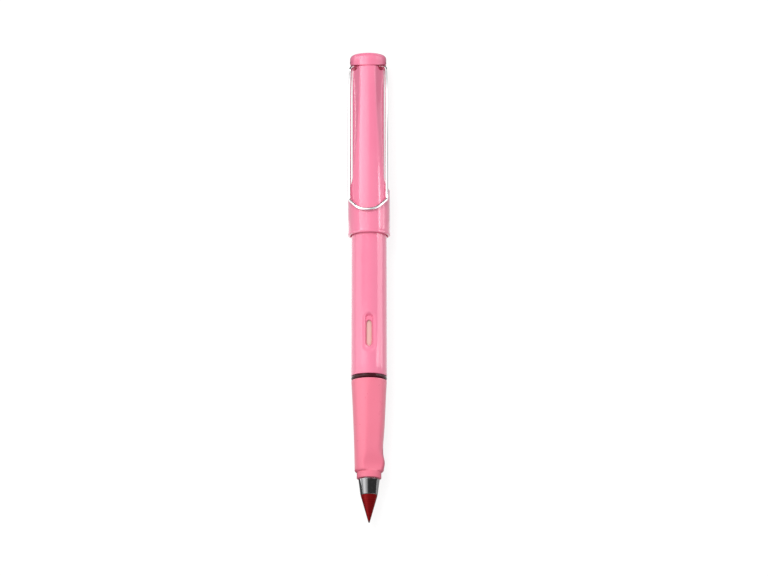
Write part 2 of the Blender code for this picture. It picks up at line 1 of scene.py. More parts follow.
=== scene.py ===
"""Looks of the inkless pencil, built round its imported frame.

The pen lies along Y on a pale floor: nib to -Y, crown of the cap to +Y, clip and front window
up, to +Z. Each piece is modelled upright on the pen's axis, with the nib's point at the origin
and the front of the pen towards -Y, and is then laid down into the frame. Lengths are in
metres. Heights run up the axis from the nib's point, and an angle round the axis is counted
from the front of the pen towards its right side, +X.
"""

import logging
import math
from abc import ABC, abstractmethod
from collections.abc import Callable, Iterator, Mapping, Sequence
from contextlib import contextmanager
from dataclasses import dataclass, field
from enum import Enum
from functools import cached_property
from typing import ClassVar, NamedTuple

import bmesh
import bpy
import numpy as np
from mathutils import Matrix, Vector


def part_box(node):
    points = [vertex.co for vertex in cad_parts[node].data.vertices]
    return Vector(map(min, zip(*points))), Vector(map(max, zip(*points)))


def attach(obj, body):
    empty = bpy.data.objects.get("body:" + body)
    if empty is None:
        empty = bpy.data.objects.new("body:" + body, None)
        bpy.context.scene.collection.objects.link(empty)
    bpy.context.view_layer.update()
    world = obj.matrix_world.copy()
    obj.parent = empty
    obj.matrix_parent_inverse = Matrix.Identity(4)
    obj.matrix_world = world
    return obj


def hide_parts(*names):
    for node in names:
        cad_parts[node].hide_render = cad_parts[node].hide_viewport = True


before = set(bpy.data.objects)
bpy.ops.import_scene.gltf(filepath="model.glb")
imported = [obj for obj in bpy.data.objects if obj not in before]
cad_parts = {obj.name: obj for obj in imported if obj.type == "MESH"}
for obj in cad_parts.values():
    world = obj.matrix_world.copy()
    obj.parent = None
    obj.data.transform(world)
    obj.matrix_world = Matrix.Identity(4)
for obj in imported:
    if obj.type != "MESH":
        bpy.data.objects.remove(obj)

MERGE_DISTANCE = 0.000001
SEED_SIZE = 0.0001
TURN_STEPS = 192
SMALL_TURN_STEPS = 128
BAR_SIDES = 48
LEAST_LEAN = 0.1
SMOOTH_ANGLE = math.radians(35.0)
QUARTER = math.pi / 2.0
SIDES = (-1.0, 1.0)

log = logging.getLogger("pen")

Point = tuple[float, float]
Triple = tuple[float, float, float]
Socket = bpy.types.NodeSocket
Inputs = Mapping[str | int, float | Triple | Socket]


class Places(NamedTuple):
    """Places of a mesh's vertices, as arrays: radius, angle round the axis and height."""

    radius: np.ndarray
    angle: np.ndarray
    height: np.ndarray


class Body(Enum):
    """Bodies of the frame that a piece can ride on."""

    BARREL = "barrel"
    RING = "ring"
    GRIP = "grip"
    NIB = "nib"
    CAP = "cap"
    CLIP = "clip"


class Slot(Enum):
    """Material slots of the record."""

    BODY = "body_plastic"
    GRIP = "grip_plastic"
    RING = "ring_plastic"
    SLEEVE = "sleeve_plastic"
    LINER = "liner_plastic"
    WIRE = "clip_wire"
    FERRULE = "ferrule_chrome"
    NIB = "nib_alloy"


@dataclass(frozen=True)
class PenLine:
    """The pen's axis in the frame: where the nib's point is, and how high the axis lies."""

    nib_y: float
    height: float

    @classmethod
    def from_frame(cls) -> "PenLine":
        """Read the axis off the nib and the barrel of the frame."""
        nib_low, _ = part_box("nib_tip")
        barrel_low, barrel_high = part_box("barrel")
        return cls(nib_low.y, (barrel_low.z + barrel_high.z) / 2.0)

    def reach(self, node: str) -> Triple:
        """Measure a node of the frame.

        Args:
            node: Its name.

        Returns:
            The heights above the nib's point where it starts and ends, and its largest radius.
        """
        low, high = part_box(node)
        return low.y - self.nib_y, high.y - self.nib_y, (high.x - low.x) / 2.0


def take(obj: bpy.types.Object) -> None:
    """Select one object alone and make it the active one."""
    bpy.ops.object.select_all(action="DESELECT")
    obj.select_set(True)
    bpy.context.view_layer.objects.active = obj


def apply_place() -> None:
    """Put the place, turn and scale of the selected object into its mesh."""
    bpy.ops.object.transform_apply(location=True, rotation=True, scale=True)


@contextmanager
def editing(obj: bpy.types.Object, select: str = "DESELECT") -> Iterator[bmesh.types.BMesh]:
    """Open an object in edit mode, and leave edit mode afterwards.

    Args:
        obj: The mesh object to edit.
        select: SELECT starts with everything selected, and DESELECT with nothing.

    Yields:
        The edit mesh, whose elements the caller selects.
    """
    take(obj)
    bpy.ops.object.mode_set(mode="EDIT")
    bpy.ops.mesh.select_all(action=select)
    yield bmesh.from_edit_mesh(obj.data)
    bpy.ops.object.mode_set(mode="OBJECT")


def arc(centre: Point, size: float, start: float, turn: float, steps: int = 6) -> list[Point]:
    """Points of an arc on a turned outline.

    Args:
        centre: Radius and height of the arc's centre.
        size: Radius of the arc itself.
        start: Angle of its first point, counted from the outward direction towards the crown.
        turn: Angle that it runs through; negative runs towards the nib on an outer edge.
        steps: Number of steps.

    Returns:
        Points as (radius, height), both ends included.
    """
    angles = (start + turn * step / steps for step in range(steps + 1))
    return [(centre[0] + size * math.cos(a), centre[1] + size * math.sin(a)) for a in angles]


def rungs(start: Point, end: Point, spacing: float) -> list[Point]:
    """Evenly spaced points after start, up to and including end.

    Args:
        start: Radius and height where the run starts.
        end: Radius and height where it ends.
        spacing: Largest distance between two points.

    Returns:
        The points of the run, without its start.
    """
    count = max(1, math.ceil(math.dist(start, end) / spacing))
    shares = (step / count for step in range(1, count + 1))
    return [(start[0] + (end[0] - start[0]) * s, start[1] + (end[1] - start[1]) * s)
            for s in shares]


def hump(height: np.ndarray, centre: float, length: float) -> np.ndarray:
    """A smooth hump of unit height along the axis.

    Args:
        height: Heights.
        centre: Height of the hump's top.
        length: Distance from its top at which it has sunk to about a third.

    Returns:
        Values from 0 to 1.
    """
    return np.exp(-((height - centre) / length) ** 2)


def pressed(radius: np.ndarray, angle: np.ndarray, flats: Sequence[tuple[float, np.ndarray]],
            sharpness: float) -> np.ndarray:
    """Press flats into a round section, with softly rounded edges where they meet it.

    Args:
        radius: Radii of the round section.
        angle: Angles round the axis.
        flats: Direction of each flat, and its distance from the axis.
        sharpness: Power of the blend; a larger one gives crisper edges.

    Returns:
        The new radii.
    """
    shape = np.ones_like(radius)
    for direction, distance in flats:
        lean = np.cos(angle - direction)
        reach = distance / np.maximum(lean, LEAST_LEAN)
        shape = shape + np.where(lean > LEAST_LEAN, (radius / reach) ** sharpness, 0.0)
    return radius * shape ** (-1.0 / sharpness)


class NodeBench:
    """A node tree in the making, with short calls for what the materials share."""

    def __init__(self, owner: bpy.types.Material | bpy.types.World) -> None:
        """Open the node tree of a material or of the world."""
        owner.use_nodes = True
        self.owner, self.tree = owner, owner.node_tree

    @cached_property
    def place(self) -> Socket:
        """The object's own coordinates."""
        return self.add("TexCoord").outputs["Object"]

    def feed(self, node: str | bpy.types.Node, inputs: Inputs) -> None:
        """Set some inputs of a node.

        Args:
            node: The node or its name.
            inputs: A socket to link, a number, a vector or a linear colour for each input.
        """
        node = self.tree.nodes[node] if isinstance(node, str) else node
        for key, value in inputs.items():
            entry = node.inputs[key]
            if isinstance(value, Socket):
                self.tree.links.new(value, entry)
            else:
                entry.default_value = (*value, 1.0) if entry.type == "RGBA" else value

    def add(self, kind: str, inputs: Inputs | None = None, **settings: str) -> bpy.types.Node:
        """Add a node.

        Args:
            kind: Its type, without the words that all shader nodes start with.
            inputs: What its inputs are fed.
            **settings: Its own settings, such as an operation.

        Returns:
            The node.
        """
        node = self.tree.nodes.new(f"ShaderNode{kind}")
        for name, value in settings.items():
            setattr(node, name, value)
        self.feed(node, inputs or {})
        return node

    def axes(self) -> Mapping[str, Socket]:
        """The object's own X, Y and Z."""
        return self.add("SeparateXYZ", {"Vector": self.place}).outputs

    def reckon(self, operation: str, first: Socket, second: float | Socket) -> Socket:
        """Value of a mathematical operation on two values."""
        return self.add("Math", {0: first, 1: second}, operation=operation).outputs["Value"]

    def noise(self, size: float, detail: float = 2.0,
              stretch: Triple = (1.0, 1.0, 1.0)) -> Socket:
        """Noise with grains of a given size.

        Args:
            size: Width of a grain.
            detail: Octaves of finer noise in it.
            stretch: How much longer a grain is along each axis.

        Returns:
            The noise's value, near 0.5.
        """
        scale = tuple(1.0 / (size * s) for s in stretch)
        mapping = self.add("Mapping", {"Vector": self.place, "Scale": scale})
        inputs = {"Vector": mapping.outputs["Vector"], "Scale": 1.0, "Detail": detail}
        return self.add("TexNoise", inputs).outputs["Fac"]

    def spread(self, value: Socket, low: float, high: float, start: float = 0.3,
               end: float = 0.7) -> Socket:
        """Stretch a value from one range to another.

        Args:
            value: The value to stretch.
            low: What start becomes.
            high: What end becomes.
            start: Lower end of the value's own range.
            end: Upper end of it.

        Returns:
            The stretched value.
        """
        inputs = {"Value": value, "From Min": start, "From Max": end, "To Min": low,
                  "To Max": high}
        return self.add("MapRange", inputs).outputs["Result"]

    def blend(self, share: Socket, low: Triple | Socket, high: Triple) -> Socket:
        """Mix two colours, low at share 0 and high at share 1."""
        inputs = {"Factor": share, "A": low, "B": high}
        return self.add("Mix", inputs, data_type="RGBA").outputs["Result"]

    def bump(self, height: Socket, depth: float) -> Socket:
        """Normal of a relief of a given depth, from a height that runs from 0 to 1."""
        inputs = {"Height": height, "Distance": depth, "Strength": 1.0}
        return self.add("Bump", inputs).outputs["Normal"]

    def shown(self, plain: Socket, bright: Socket) -> Socket:
        """Shader that is bright for the camera, gloss and glass, and plain where it lights."""
        rays = self.add("LightPath").outputs
        seen = self.reckon("MAXIMUM", rays["Is Camera Ray"], rays["Is Glossy Ray"])
        seen = self.reckon("MAXIMUM", seen, rays["Is Transmission Ray"])
        return self.add("MixShader", {0: seen, 1: plain, 2: bright}).outputs["Shader"]


@dataclass(frozen=True)
class Finish(ABC):
    """What a surface looks like, and the slot of the record that it stands for."""

    name: str
    slot: Slot
    colour: Triple

    @abstractmethod
    def inputs(self, bench: NodeBench) -> Inputs:
        """What the finish feeds the Principled shader; its other nodes go on the bench."""

    def material(self) -> bpy.types.Material:
        """Build the finish's material."""
        bench = NodeBench(bpy.data.materials.new(self.name))
        bench.feed("Principled BSDF", self.inputs(bench))
        return bench.owner


@dataclass(frozen=True)
class MouldedPlastic(Finish):
    """Injection-moulded plastic: cloudy colour, fine grain and a gloss that varies a little."""

    cloud: Triple
    roughness: float
    roughness_spread: float = 0.03
    cloud_size: float = 0.006
    gloss_size: float = 0.0015
    grain_size: float = 0.00025
    grain_depth: float = 0.0000002
    ior: float = 1.49
    coat: float = 0.0
    coat_roughness: float = 0.05
    specular: float = 0.5

    def inputs(self, bench: NodeBench) -> Inputs:
        """Cloudy colour, uneven gloss and grain."""
        cloud = bench.spread(bench.noise(self.cloud_size), 0.0, 1.0)
        gloss = bench.noise(self.gloss_size, detail=3.0)
        low, high = self.roughness - self.roughness_spread, self.roughness + self.roughness_spread
        return {"Base Color": bench.blend(cloud, self.colour, self.cloud),
                "Roughness": bench.spread(gloss, low, high),
                "Normal": bench.bump(bench.noise(self.grain_size, detail=1.0), self.grain_depth),
                "IOR": self.ior, "Specular IOR Level": self.specular,
                "Coat Weight": self.coat, "Coat Roughness": self.coat_roughness}


@dataclass(frozen=True)
class Chrome(Finish):
    """Polished chrome with faint drawn lines along one direction."""

    roughness: float
    smoothest: float = 0.6
    roughest: float = 1.5
    line_size: float = 0.00012
    line_stretch: Triple = (1.0, 30.0, 1.0)
    line_depth: float = 0.000001

    def inputs(self, bench: NodeBench) -> Inputs:
        """Metal with its drawn lines."""
        lines = bench.noise(self.line_size, stretch=self.line_stretch)
        low, high = self.roughness * self.smoothest, self.roughness * self.roughest
        return {"Base Color": self.colour, "Metallic": 1.0,
                "Roughness": bench.spread(lines, low, high),
                "Normal": bench.bump(lines, self.line_depth)}


@dataclass(frozen=True)
class RedAlloy(Finish):
    """Dark red alloy, turned to a cone, with a blackened point that ends at point_end."""

    shade: Triple
    point: Triple
    point_y: float
    point_end: float
    metallic: float = 0.5
    specular: float = 0.3
    smoothest: float = 0.25
    roughest: float = 0.38
    grain_size: float = 0.0009
    ring_size: float = 0.0008
    ring_stretch: Triple = (20.0, 0.2, 20.0)
    ring_depth: float = 0.0000015

    def inputs(self, bench: NodeBench) -> Inputs:
        """Grainy colour, black point and turned rings."""
        grain = bench.spread(bench.noise(self.grain_size, detail=4.0), 0.0, 1.0)
        body = bench.blend(grain, self.colour, self.shade)
        black = bench.spread(bench.axes()["Y"], 1.0, 0.0, self.point_y, self.point_end)
        rings = bench.noise(self.ring_size, stretch=self.ring_stretch)
        return {"Base Color": bench.blend(black, body, self.point),
                "Metallic": self.metallic, "Specular IOR Level": self.specular,
                "Roughness": bench.spread(rings, self.smoothest, self.roughest),
                "Normal": bench.bump(rings, self.ring_depth)}


PINK = MouldedPlastic("pink_plastic", Slot.BODY, (0.982, 0.236, 0.390), (0.988, 0.244, 0.400),
                      0.17, coat=0.3)
GRIP_PINK = MouldedPlastic("pink_grip_plastic", Slot.GRIP, (0.984, 0.218, 0.326),
                           (0.99, 0.226, 0.336), 0.30)
RING_PLUM = MouldedPlastic("ring_plastic", Slot.RING, (0.050, 0.002, 0.007),
                           (0.062, 0.003, 0.009), 0.14, specular=0.20)
SLEEVE_CREAM = MouldedPlastic("sleeve_plastic", Slot.SLEEVE, (0.90, 0.54, 0.49),
                              (0.92, 0.57, 0.52), 0.42)
LINER_WHITE = MouldedPlastic("liner_plastic", Slot.LINER, (0.78, 0.78, 0.76),
                             (0.83, 0.83, 0.81), 0.38)
WIRE_CHROME = Chrome("wire_chrome", Slot.WIRE, (0.86, 0.86, 0.86), 0.06)
FERRULE_CHROME = Chrome("ferrule_chrome", Slot.FERRULE, (0.82, 0.82, 0.83), 0.09)


class Workpiece:
    """One piece on the bench, modelled upright on the pen's axis and laid down when done."""

    def __init__(self, obj: bpy.types.Object, name: str) -> None:
        """Take an object in hand under the piece's name."""
        self.obj = obj
        obj.name = name
        obj.data.name = name

    @classmethod
    def drawn(cls, name: str, outline: Sequence[Point], closed: bool) -> "Workpiece":
        """Draw an outline beside the axis by extruding one vertex from point to point.

        Args:
            name: Name of the piece.
            outline: Points as (radius, height).
            closed: Whether the outline returns to its first point.

        Returns:
            The piece, a chain of edges so far.
        """
        first = outline[0]
        bpy.ops.object.select_all(action="DESELECT")
        bpy.ops.mesh.primitive_plane_add(size=SEED_SIZE, location=(first[0], 0.0, first[1]))
        piece = cls(bpy.context.object, name)
        bpy.ops.object.mode_set(mode="EDIT")
        bpy.ops.mesh.merge(type="CENTER")
        route = [*outline, first] if closed else list(outline)
        for last, point in zip(route, route[1:]):
            step = (point[0] - last[0], 0.0, point[1] - last[1])
            bpy.ops.mesh.extrude_region_move(TRANSFORM_OT_translate={"value": step})
        bpy.ops.mesh.select_all(action="SELECT")
        bpy.ops.mesh.remove_doubles(threshold=MERGE_DISTANCE)
        bpy.ops.object.mode_set(mode="OBJECT")
        apply_place()
        return piece

    @classmethod
    def turned(cls, name: str, outline: Sequence[Point],
               steps: int = TURN_STEPS) -> "Workpiece":
        """Draw an outline and turn it once round the axis.

        Args:
            name: Name of the piece.
            outline: Points as (radius, height); one that starts on the axis also ends there.
            steps: Number of columns round the axis.

        Returns:
            The turned piece, closed and with its faces outwards.
        """
        piece = cls.drawn(name, outline, closed=outline[0][0] > 0.0)
        piece.screw(steps)
        return piece

    @classmethod
    def added(cls, name: str, add: Callable[..., set[str]], **options: object) -> "Workpiece":
        """Add a primitive, with its place in its mesh.

        Args:
            name: Name of the piece.
            add: Operator that adds it.
            **options: What the operator is told.

        Returns:
            The piece.
        """
        bpy.ops.object.select_all(action="DESELECT")
        add(**options)
        piece = cls(bpy.context.object, name)
        apply_place()
        return piece

    @classmethod
    def bar(cls, name: str, radius: float, depth: float, location: Triple,
            rotation: Triple) -> "Workpiece":
        """Round bar to cut with.

        Args:
            name: Name of the piece.
            radius: Its radius.
            depth: Its length.
            location: Its middle.
            rotation: How it is turned from upright.

        Returns:
            The bar.
        """
        return cls.added(name, bpy.ops.mesh.primitive_cylinder_add, vertices=BAR_SIDES,
                         radius=radius, depth=depth, end_fill_type="NGON", location=location,
                         rotation=rotation)

    def screw(self, steps: int, rise: float = 0.0, turns: int = 1) -> None:
        """Turn the drawn outline about the axis and fill its open ends, if there are any.

        Args:
            steps: Number of steps in one turn.
            rise: Climb of one turn.
            turns: Number of turns.
        """
        self.modify("SCREW", axis="Z", angle=4.0 * QUARTER, steps=steps, render_steps=steps,
                    screw_offset=rise, iterations=turns, use_merge_vertices=rise == 0.0,
                    merge_threshold=MERGE_DISTANCE)
        with editing(self.obj):
            bpy.ops.mesh.select_non_manifold(extend=False, use_wire=False, use_multi_face=False,
                                             use_non_contiguous=False, use_verts=False)
            if self.obj.data.total_edge_sel:
                bpy.ops.mesh.edge_face_add()
            bpy.ops.mesh.select_all(action="SELECT")
            bpy.ops.mesh.normals_make_consistent(inside=False)

    def modify(self, kind: str, **settings: object) -> None:
        """Set up a modifier and apply it.

        Args:
            kind: Type of the modifier.
            **settings: Its settings.
        """
        modifier = self.obj.modifiers.new(kind, kind)
        for name, value in settings.items():
            setattr(modifier, name, value)
        with bpy.context.temp_override(object=self.obj, active_object=self.obj):
            bpy.ops.object.modifier_apply(modifier=modifier.name)

    def reshape(self, rule: Callable[[Places], Places]) -> None:
        """Move every vertex in or out and up or down, as a rule of its place says.

        Args:
            rule: Gives new radii and heights; the angles stay.
        """
        mesh = self.obj.data
        flat = np.empty(len(mesh.vertices) * 3)
        mesh.vertices.foreach_get("co", flat)
        corners = flat.reshape(-1, 3)
        radius = np.hypot(corners[:, 0], corners[:, 1])
        angle = np.arctan2(corners[:, 0], -corners[:, 1])
        new = rule(Places(radius, angle, corners[:, 2].copy()))
        corners[:, :2] *= (new.radius / np.maximum(radius, MERGE_DISTANCE))[:, None]
        corners[:, 2] = new.height
        mesh.vertices.foreach_set("co", flat)
        mesh.update()

    def place(self, location: Triple, rotation: Triple) -> None:
        """Turn and move the piece, with its new place in its mesh.

        Args:
            location: Where its origin goes.
            rotation: How it is turned about X, Y and Z, in that order.
        """
        take(self.obj)
        self.obj.location, self.obj.rotation_euler = location, rotation
        apply_place()

    def seat(self, pivot: float, twist: float, lean: float) -> None:
        """Turn the piece about the axis, and then lean it over to one side.

        Args:
            pivot: Height of the point on the axis that it leans about.
            twist: How far its front turns towards its right.
            lean: How far its top leans towards its right.
        """
        self.place((-pivot * math.sin(lean), 0.0, pivot * (1.0 - math.cos(lean))),
                   (0.0, lean, twist))

    def cut(self, tool: "Workpiece") -> None:
        """Cut a closed tool out of the piece and throw the tool away."""
        self.modify("BOOLEAN", operation="DIFFERENCE", solver="MANIFOLD", object=tool.obj)
        bpy.data.objects.remove(tool.obj)


@dataclass
class SubAssembly(ABC):
    """Pieces that ride on one body of the frame."""

    body: ClassVar[Body]
    line: PenLine

    @abstractmethod
    def build(self) -> None:
        """Make the pieces."""

    def hand_over(self, piece: Workpiece, look: Finish, *nodes: str) -> None:
        """Lay a piece down into the frame, dress it and hand it to the body.

        Args:
            piece: The piece, upright.
            look: What its surface looks like.
            *nodes: Nodes of the frame that it stands for.
        """
        obj = piece.obj
        piece.place((0.0, self.line.nib_y, self.line.height), (-QUARTER, 0.0, 0.0))
        bpy.ops.object.shade_smooth_by_angle(angle=SMOOTH_ANGLE)
        obj.data.materials.clear()
        obj.data.materials.append(look.material())
        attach(obj, self.body.value)
        if nodes:
            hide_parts(*nodes)
        log.info("%s: %d faces on %s", obj.name, len(obj.data.polygons), self.body.value)


@dataclass(frozen=True)
class ScrewThread:
    """A screw ridge round a stem; flank, crest and sunk foot are shares of pitch and rise."""

    pitch: float
    rise: float
    start: float
    turns: int
    flank: float = 0.38
    crest: float = 0.1
    foot: float = 0.3
    steps: int = 72

    def wind(self, name: str, radius: float, shoulder: float) -> Workpiece:
        """Wind the ridge.

        Args:
            name: Name of the piece.
            radius: Radius of the stem.
            shoulder: Height from which the ridge's start is counted.

        Returns:
            The ridge, one closed piece.
        """
        low, outer = shoulder + self.start, radius + self.rise
        inner = radius - self.rise * self.foot
        flank, crest = self.pitch * self.flank, self.pitch * self.crest
        outline = [(inner, low), (outer, low + flank), (outer, low + flank + crest),
                   (inner, low + 2 * flank + crest)]
        piece = Workpiece.drawn(name, outline, closed=True)
        piece.screw(self.steps, self.pitch, self.turns)
        return piece


@dataclass
class WritingEnd(SubAssembly):
    """Solid nib and the chromed ferrule that holds it."""

    body = Body.NIB
    cone_length: float = 0.00965
    point_radius: float = 0.00025
    point_length: float = 0.0012
    base_round: float = 0.00008
    spigot_radius: float = 0.00135
    front_radius: float = 0.0030
    lip_round: float = 0.00014
    lip_reach: float = 0.00014
    collar_length: float = 0.0053
    stem_radius: float = 0.00245
    stem_bore: float = 0.00165
    stem_chamfer: float = 0.0003
    thread: ScrewThread = ScrewThread(0.0007, 0.00022, 0.0012, 9)
    red: Triple = (0.37, 0.006, 0.008)
    deep_red: Triple = (0.30, 0.005, 0.007)
    black: Triple = (0.012, 0.004, 0.004)

    def build(self) -> None:
        """Make the nib, and the ferrule with the thread on its stem."""
        self.nib()
        self.ferrule()

    def nib(self) -> None:
        """Turn the cone, its blunt point and the spigot behind it."""
        _, top, base = self.line.reach("nib_tip")
        edge = self.cone_length
        slope = math.atan2(base - self.point_radius, edge)
        outline = [(0.0, top), (self.spigot_radius, top), (self.spigot_radius, edge)]
        outline += arc((base - self.base_round, edge - self.base_round), self.base_round,
                       QUARTER, -QUARTER - slope, steps=4)
        outline += arc((0.0, self.point_radius), self.point_radius, -slope, slope - QUARTER)
        look = RedAlloy("nib_alloy", Slot.NIB, self.red, self.deep_red, self.black,
                        self.line.nib_y, self.line.nib_y + self.point_length)
        piece = Workpiece.turned("nib_cone", outline, SMALL_TURN_STEPS)
        self.hand_over(piece, look, "nib_tip")

    def ferrule(self) -> None:
        """Turn the tapered ferrule and its hollow stem, and wind the thread round the stem."""
        low, top, outer = self.line.reach("nib_ferrule")
        back, lip = low + self.collar_length, self.lip_round
        low -= self.lip_reach
        outline = [(self.stem_bore, top), (self.stem_radius - self.stem_chamfer, top),
                   (self.stem_radius, top - self.stem_chamfer), (self.stem_radius, back)]
        outline += arc((outer - lip, back - lip), lip, QUARTER, -QUARTER, steps=5)
        outline += arc((self.front_radius - lip, low + lip), lip, 0.0, -QUARTER, steps=5)
        outline.append((self.stem_bore, low))
        piece = Workpiece.turned("ferrule", outline, SMALL_TURN_STEPS)
        self.hand_over(piece, FERRULE_CHROME, "nib_ferrule")
        thread = self.thread.wind("ferrule_thread", self.stem_radius, back)
        self.hand_over(thread, FERRULE_CHROME)


@dataclass
class Grip(SubAssembly):
    """Moulded grip with its two finger flats, collar and threaded tenon, and the sleeve."""

    body = Body.GRIP
    length: float = 0.03445
    nose_radius: float = 0.0050
    top_radius: float = 0.00615
    top_round: float = 0.00028
    top_reach: float = 0.0002
    flare_power: float = 1.5
    shoulder_round: float = 0.0008
    shoulder_steps: int = 10
    collar_length: float = 0.00225
    collar_radius: float = 0.00425
    collar_edge: float = 0.0002
    tenon_radius: float = 0.00445
    bore: float = 0.00275
    tenon_length: float = 0.0104
    nipple_radius: float = 0.00335
    nipple_edge: float = 0.0003
    flat_angles: tuple[float, float] = (math.radians(18.0), math.radians(148.0))
    flat_distance: float = 0.00446
    flat_slope: float = 0.047
    flat_low: float = 0.0085
    run_out_length: float = 0.0080
    run_out_rise: float = 0.0006
    edge_sharpness: float = 34.0
    scoop_at: float = 0.0047
    scoop_length: float = 0.0026
    scoop_depth: float = 0.00042
    ridge_angle: float = math.radians(83.0)
    lip_at: float = 0.0056
    lip_length: float = 0.0020
    lip_rise: float = 0.00048
    waist_at: float = 0.0112
    waist_length: float = 0.0048
    waist_depth: float = 0.00030
    ring_spacing: float = 0.00022
    columns: int = 256
    sleeve_gap: float = 0.0003
    sleeve_edge: float = 0.00012
    thread: ScrewThread = ScrewThread(0.0016, 0.00022, 0.0026, 4)
    start: float = field(init=False)
    end: float = field(init=False)

    def __post_init__(self) -> None:
        """Find the grip's two ends in the frame."""
        self.start, self.end, _ = self.line.reach("grip_section")

    def build(self) -> None:
        """Make the grip, the thread on its tenon and the sleeve behind it."""
        self.section()
        thread = self.thread.wind("tenon_thread", self.tenon_radius, self.start + self.length)
        self.hand_over(thread, GRIP_PINK)
        self.sleeve()

    def round_radius(self, height: float | np.ndarray) -> float | np.ndarray:
        """Radius before the flats are pressed in, at a height above the grip's own nib end."""
        rise = (height - self.collar_length) / (self.length - self.collar_length)
        flare = np.clip(rise, 0.0, 1.0) ** self.flare_power
        return self.nose_radius + (self.top_radius - self.nose_radius) * flare

    def section(self) -> None:
        """Turn the grip and press its flats in."""
        low, length = self.start, self.length
        tenon_top, end = length + self.tenon_length, self.end - low
        edge, collar, tenon = self.collar_edge, self.collar_radius, self.tenon_radius
        outline = [(self.bore, 0.0), *arc((collar - edge, edge), edge, -QUARTER, QUARTER, steps=4),
                   (collar, self.collar_length)]
        shoulder_top = self.collar_length + self.shoulder_round
        for step in range(1, self.shoulder_steps + 1):
            turn = QUARTER * step / self.shoulder_steps
            height = self.collar_length + self.shoulder_round * (1.0 - math.cos(turn))
            outline.append((collar + (self.round_radius(height) - collar) * math.sin(turn), height))
        side = rungs((0.0, shoulder_top), (0.0, length - self.top_round), self.ring_spacing)
        outline += [(self.round_radius(height), height) for _, height in side]
        rim = length + self.top_reach
        outline += arc((self.top_radius - self.top_round, rim - self.top_round),
                       self.top_round, 0.0, QUARTER)
        outline += [(tenon, rim), (tenon, tenon_top - self.nipple_edge),
                    (tenon - self.nipple_edge, tenon_top), (self.nipple_radius, tenon_top),
                    (self.nipple_radius, end - self.nipple_edge),
                    (self.nipple_radius - self.nipple_edge, end), (self.bore, end)]
        outline = [(float(radius), low + height) for radius, height in outline]
        piece = Workpiece.turned("grip", outline, self.columns)
        piece.reshape(self.press_flats)
        self.hand_over(piece, GRIP_PINK, "grip_section")

    def press_flats(self, at: Places) -> Places:
        """Press the flats, the ridge's lip and its waist into the outside of the grip.

        Args:
            at: Places of the turned piece.

        Returns:
            The new places; the collar, the tenon and the bore stay.
        """
        own, collar = at.height - self.start, self.collar_radius
        full = self.round_radius(own)
        on_ridge = np.maximum(0.0, np.cos(at.angle - self.ridge_angle)) ** 2
        radius = full + on_ridge * (
            self.lip_rise * hump(own, self.lip_at, self.lip_length)
            - self.waist_depth * hump(own, self.waist_at, self.waist_length))
        distance = self.flat_distance + self.flat_slope * (own - self.flat_low)
        distance = distance - self.scoop_depth * hump(own, self.scoop_at, self.scoop_length)
        run_out = np.maximum(0.0, own - self.length + self.run_out_length)
        distance = distance + self.run_out_rise * (run_out / self.run_out_length) ** 2
        moulded = pressed(radius, at.angle, [(a, distance) for a in self.flat_angles],
                          self.edge_sharpness)
        share = (at.radius - collar) / (full - collar)
        outside = (at.radius > collar) & (own > self.collar_length)
        outside &= own < self.length - self.top_round / 2.0
        new = np.where(outside, collar + (moulded - collar) * share, at.radius)
        return at._replace(radius=new)

    def sleeve(self) -> None:
        """Turn the cream sleeve that shows in the windows."""
        low, top, outer = self.line.reach("inner_sleeve")
        bore, edge = self.nipple_radius + self.sleeve_gap, self.sleeve_edge
        outline = [(bore, low), (outer - edge, low), (outer, low + edge), (outer, top - edge),
                   (outer - edge, top), (bore, top)]
        piece = Workpiece.turned("cream_sleeve", outline, SMALL_TURN_STEPS)
        self.hand_over(piece, SLEEVE_CREAM, "inner_sleeve")


@dataclass
class JointRing(SubAssembly):
    """Dark ring between grip and barrel, its face slightly bulged."""

    body = Body.RING
    bore: float = 0.00475
    corner: float = 0.0003
    bulge: float = 0.00007

    def build(self) -> None:
        """Turn the ring."""
        low, top, outer = self.line.reach("joint_ring")
        inset = outer - self.bulge - self.corner
        middle, half = (low + top) / 2.0, (top - low) / 2.0 - self.corner
        size = (half ** 2 + self.bulge ** 2) / (2.0 * self.bulge)
        lean = math.asin(half / size)
        outline = [(self.bore, top)]
        outline += arc((inset, top - self.corner), self.corner, QUARTER, -QUARTER)
        outline += arc((outer - size, middle), size, lean, -2.0 * lean, steps=10)[1:-1]
        outline += arc((inset, low + self.corner), self.corner, 0.0, -QUARTER)
        outline.append((self.bore, low))
        piece = Workpiece.turned("dark_ring", outline)
        self.hand_over(piece, RING_PLUM, "joint_ring")


@dataclass(frozen=True)
class Opening:
    """A cut through the barrel's wall, front and back.

    Its low and top end lie above the barrel's front end, and they and the width are measured
    at the surface. The cut reaches in to floor, a distance from the axis, and each end draws
    in by end_draft with each unit of depth.
    """

    low: float
    top: float
    width: float
    floor: float
    end_draft: float


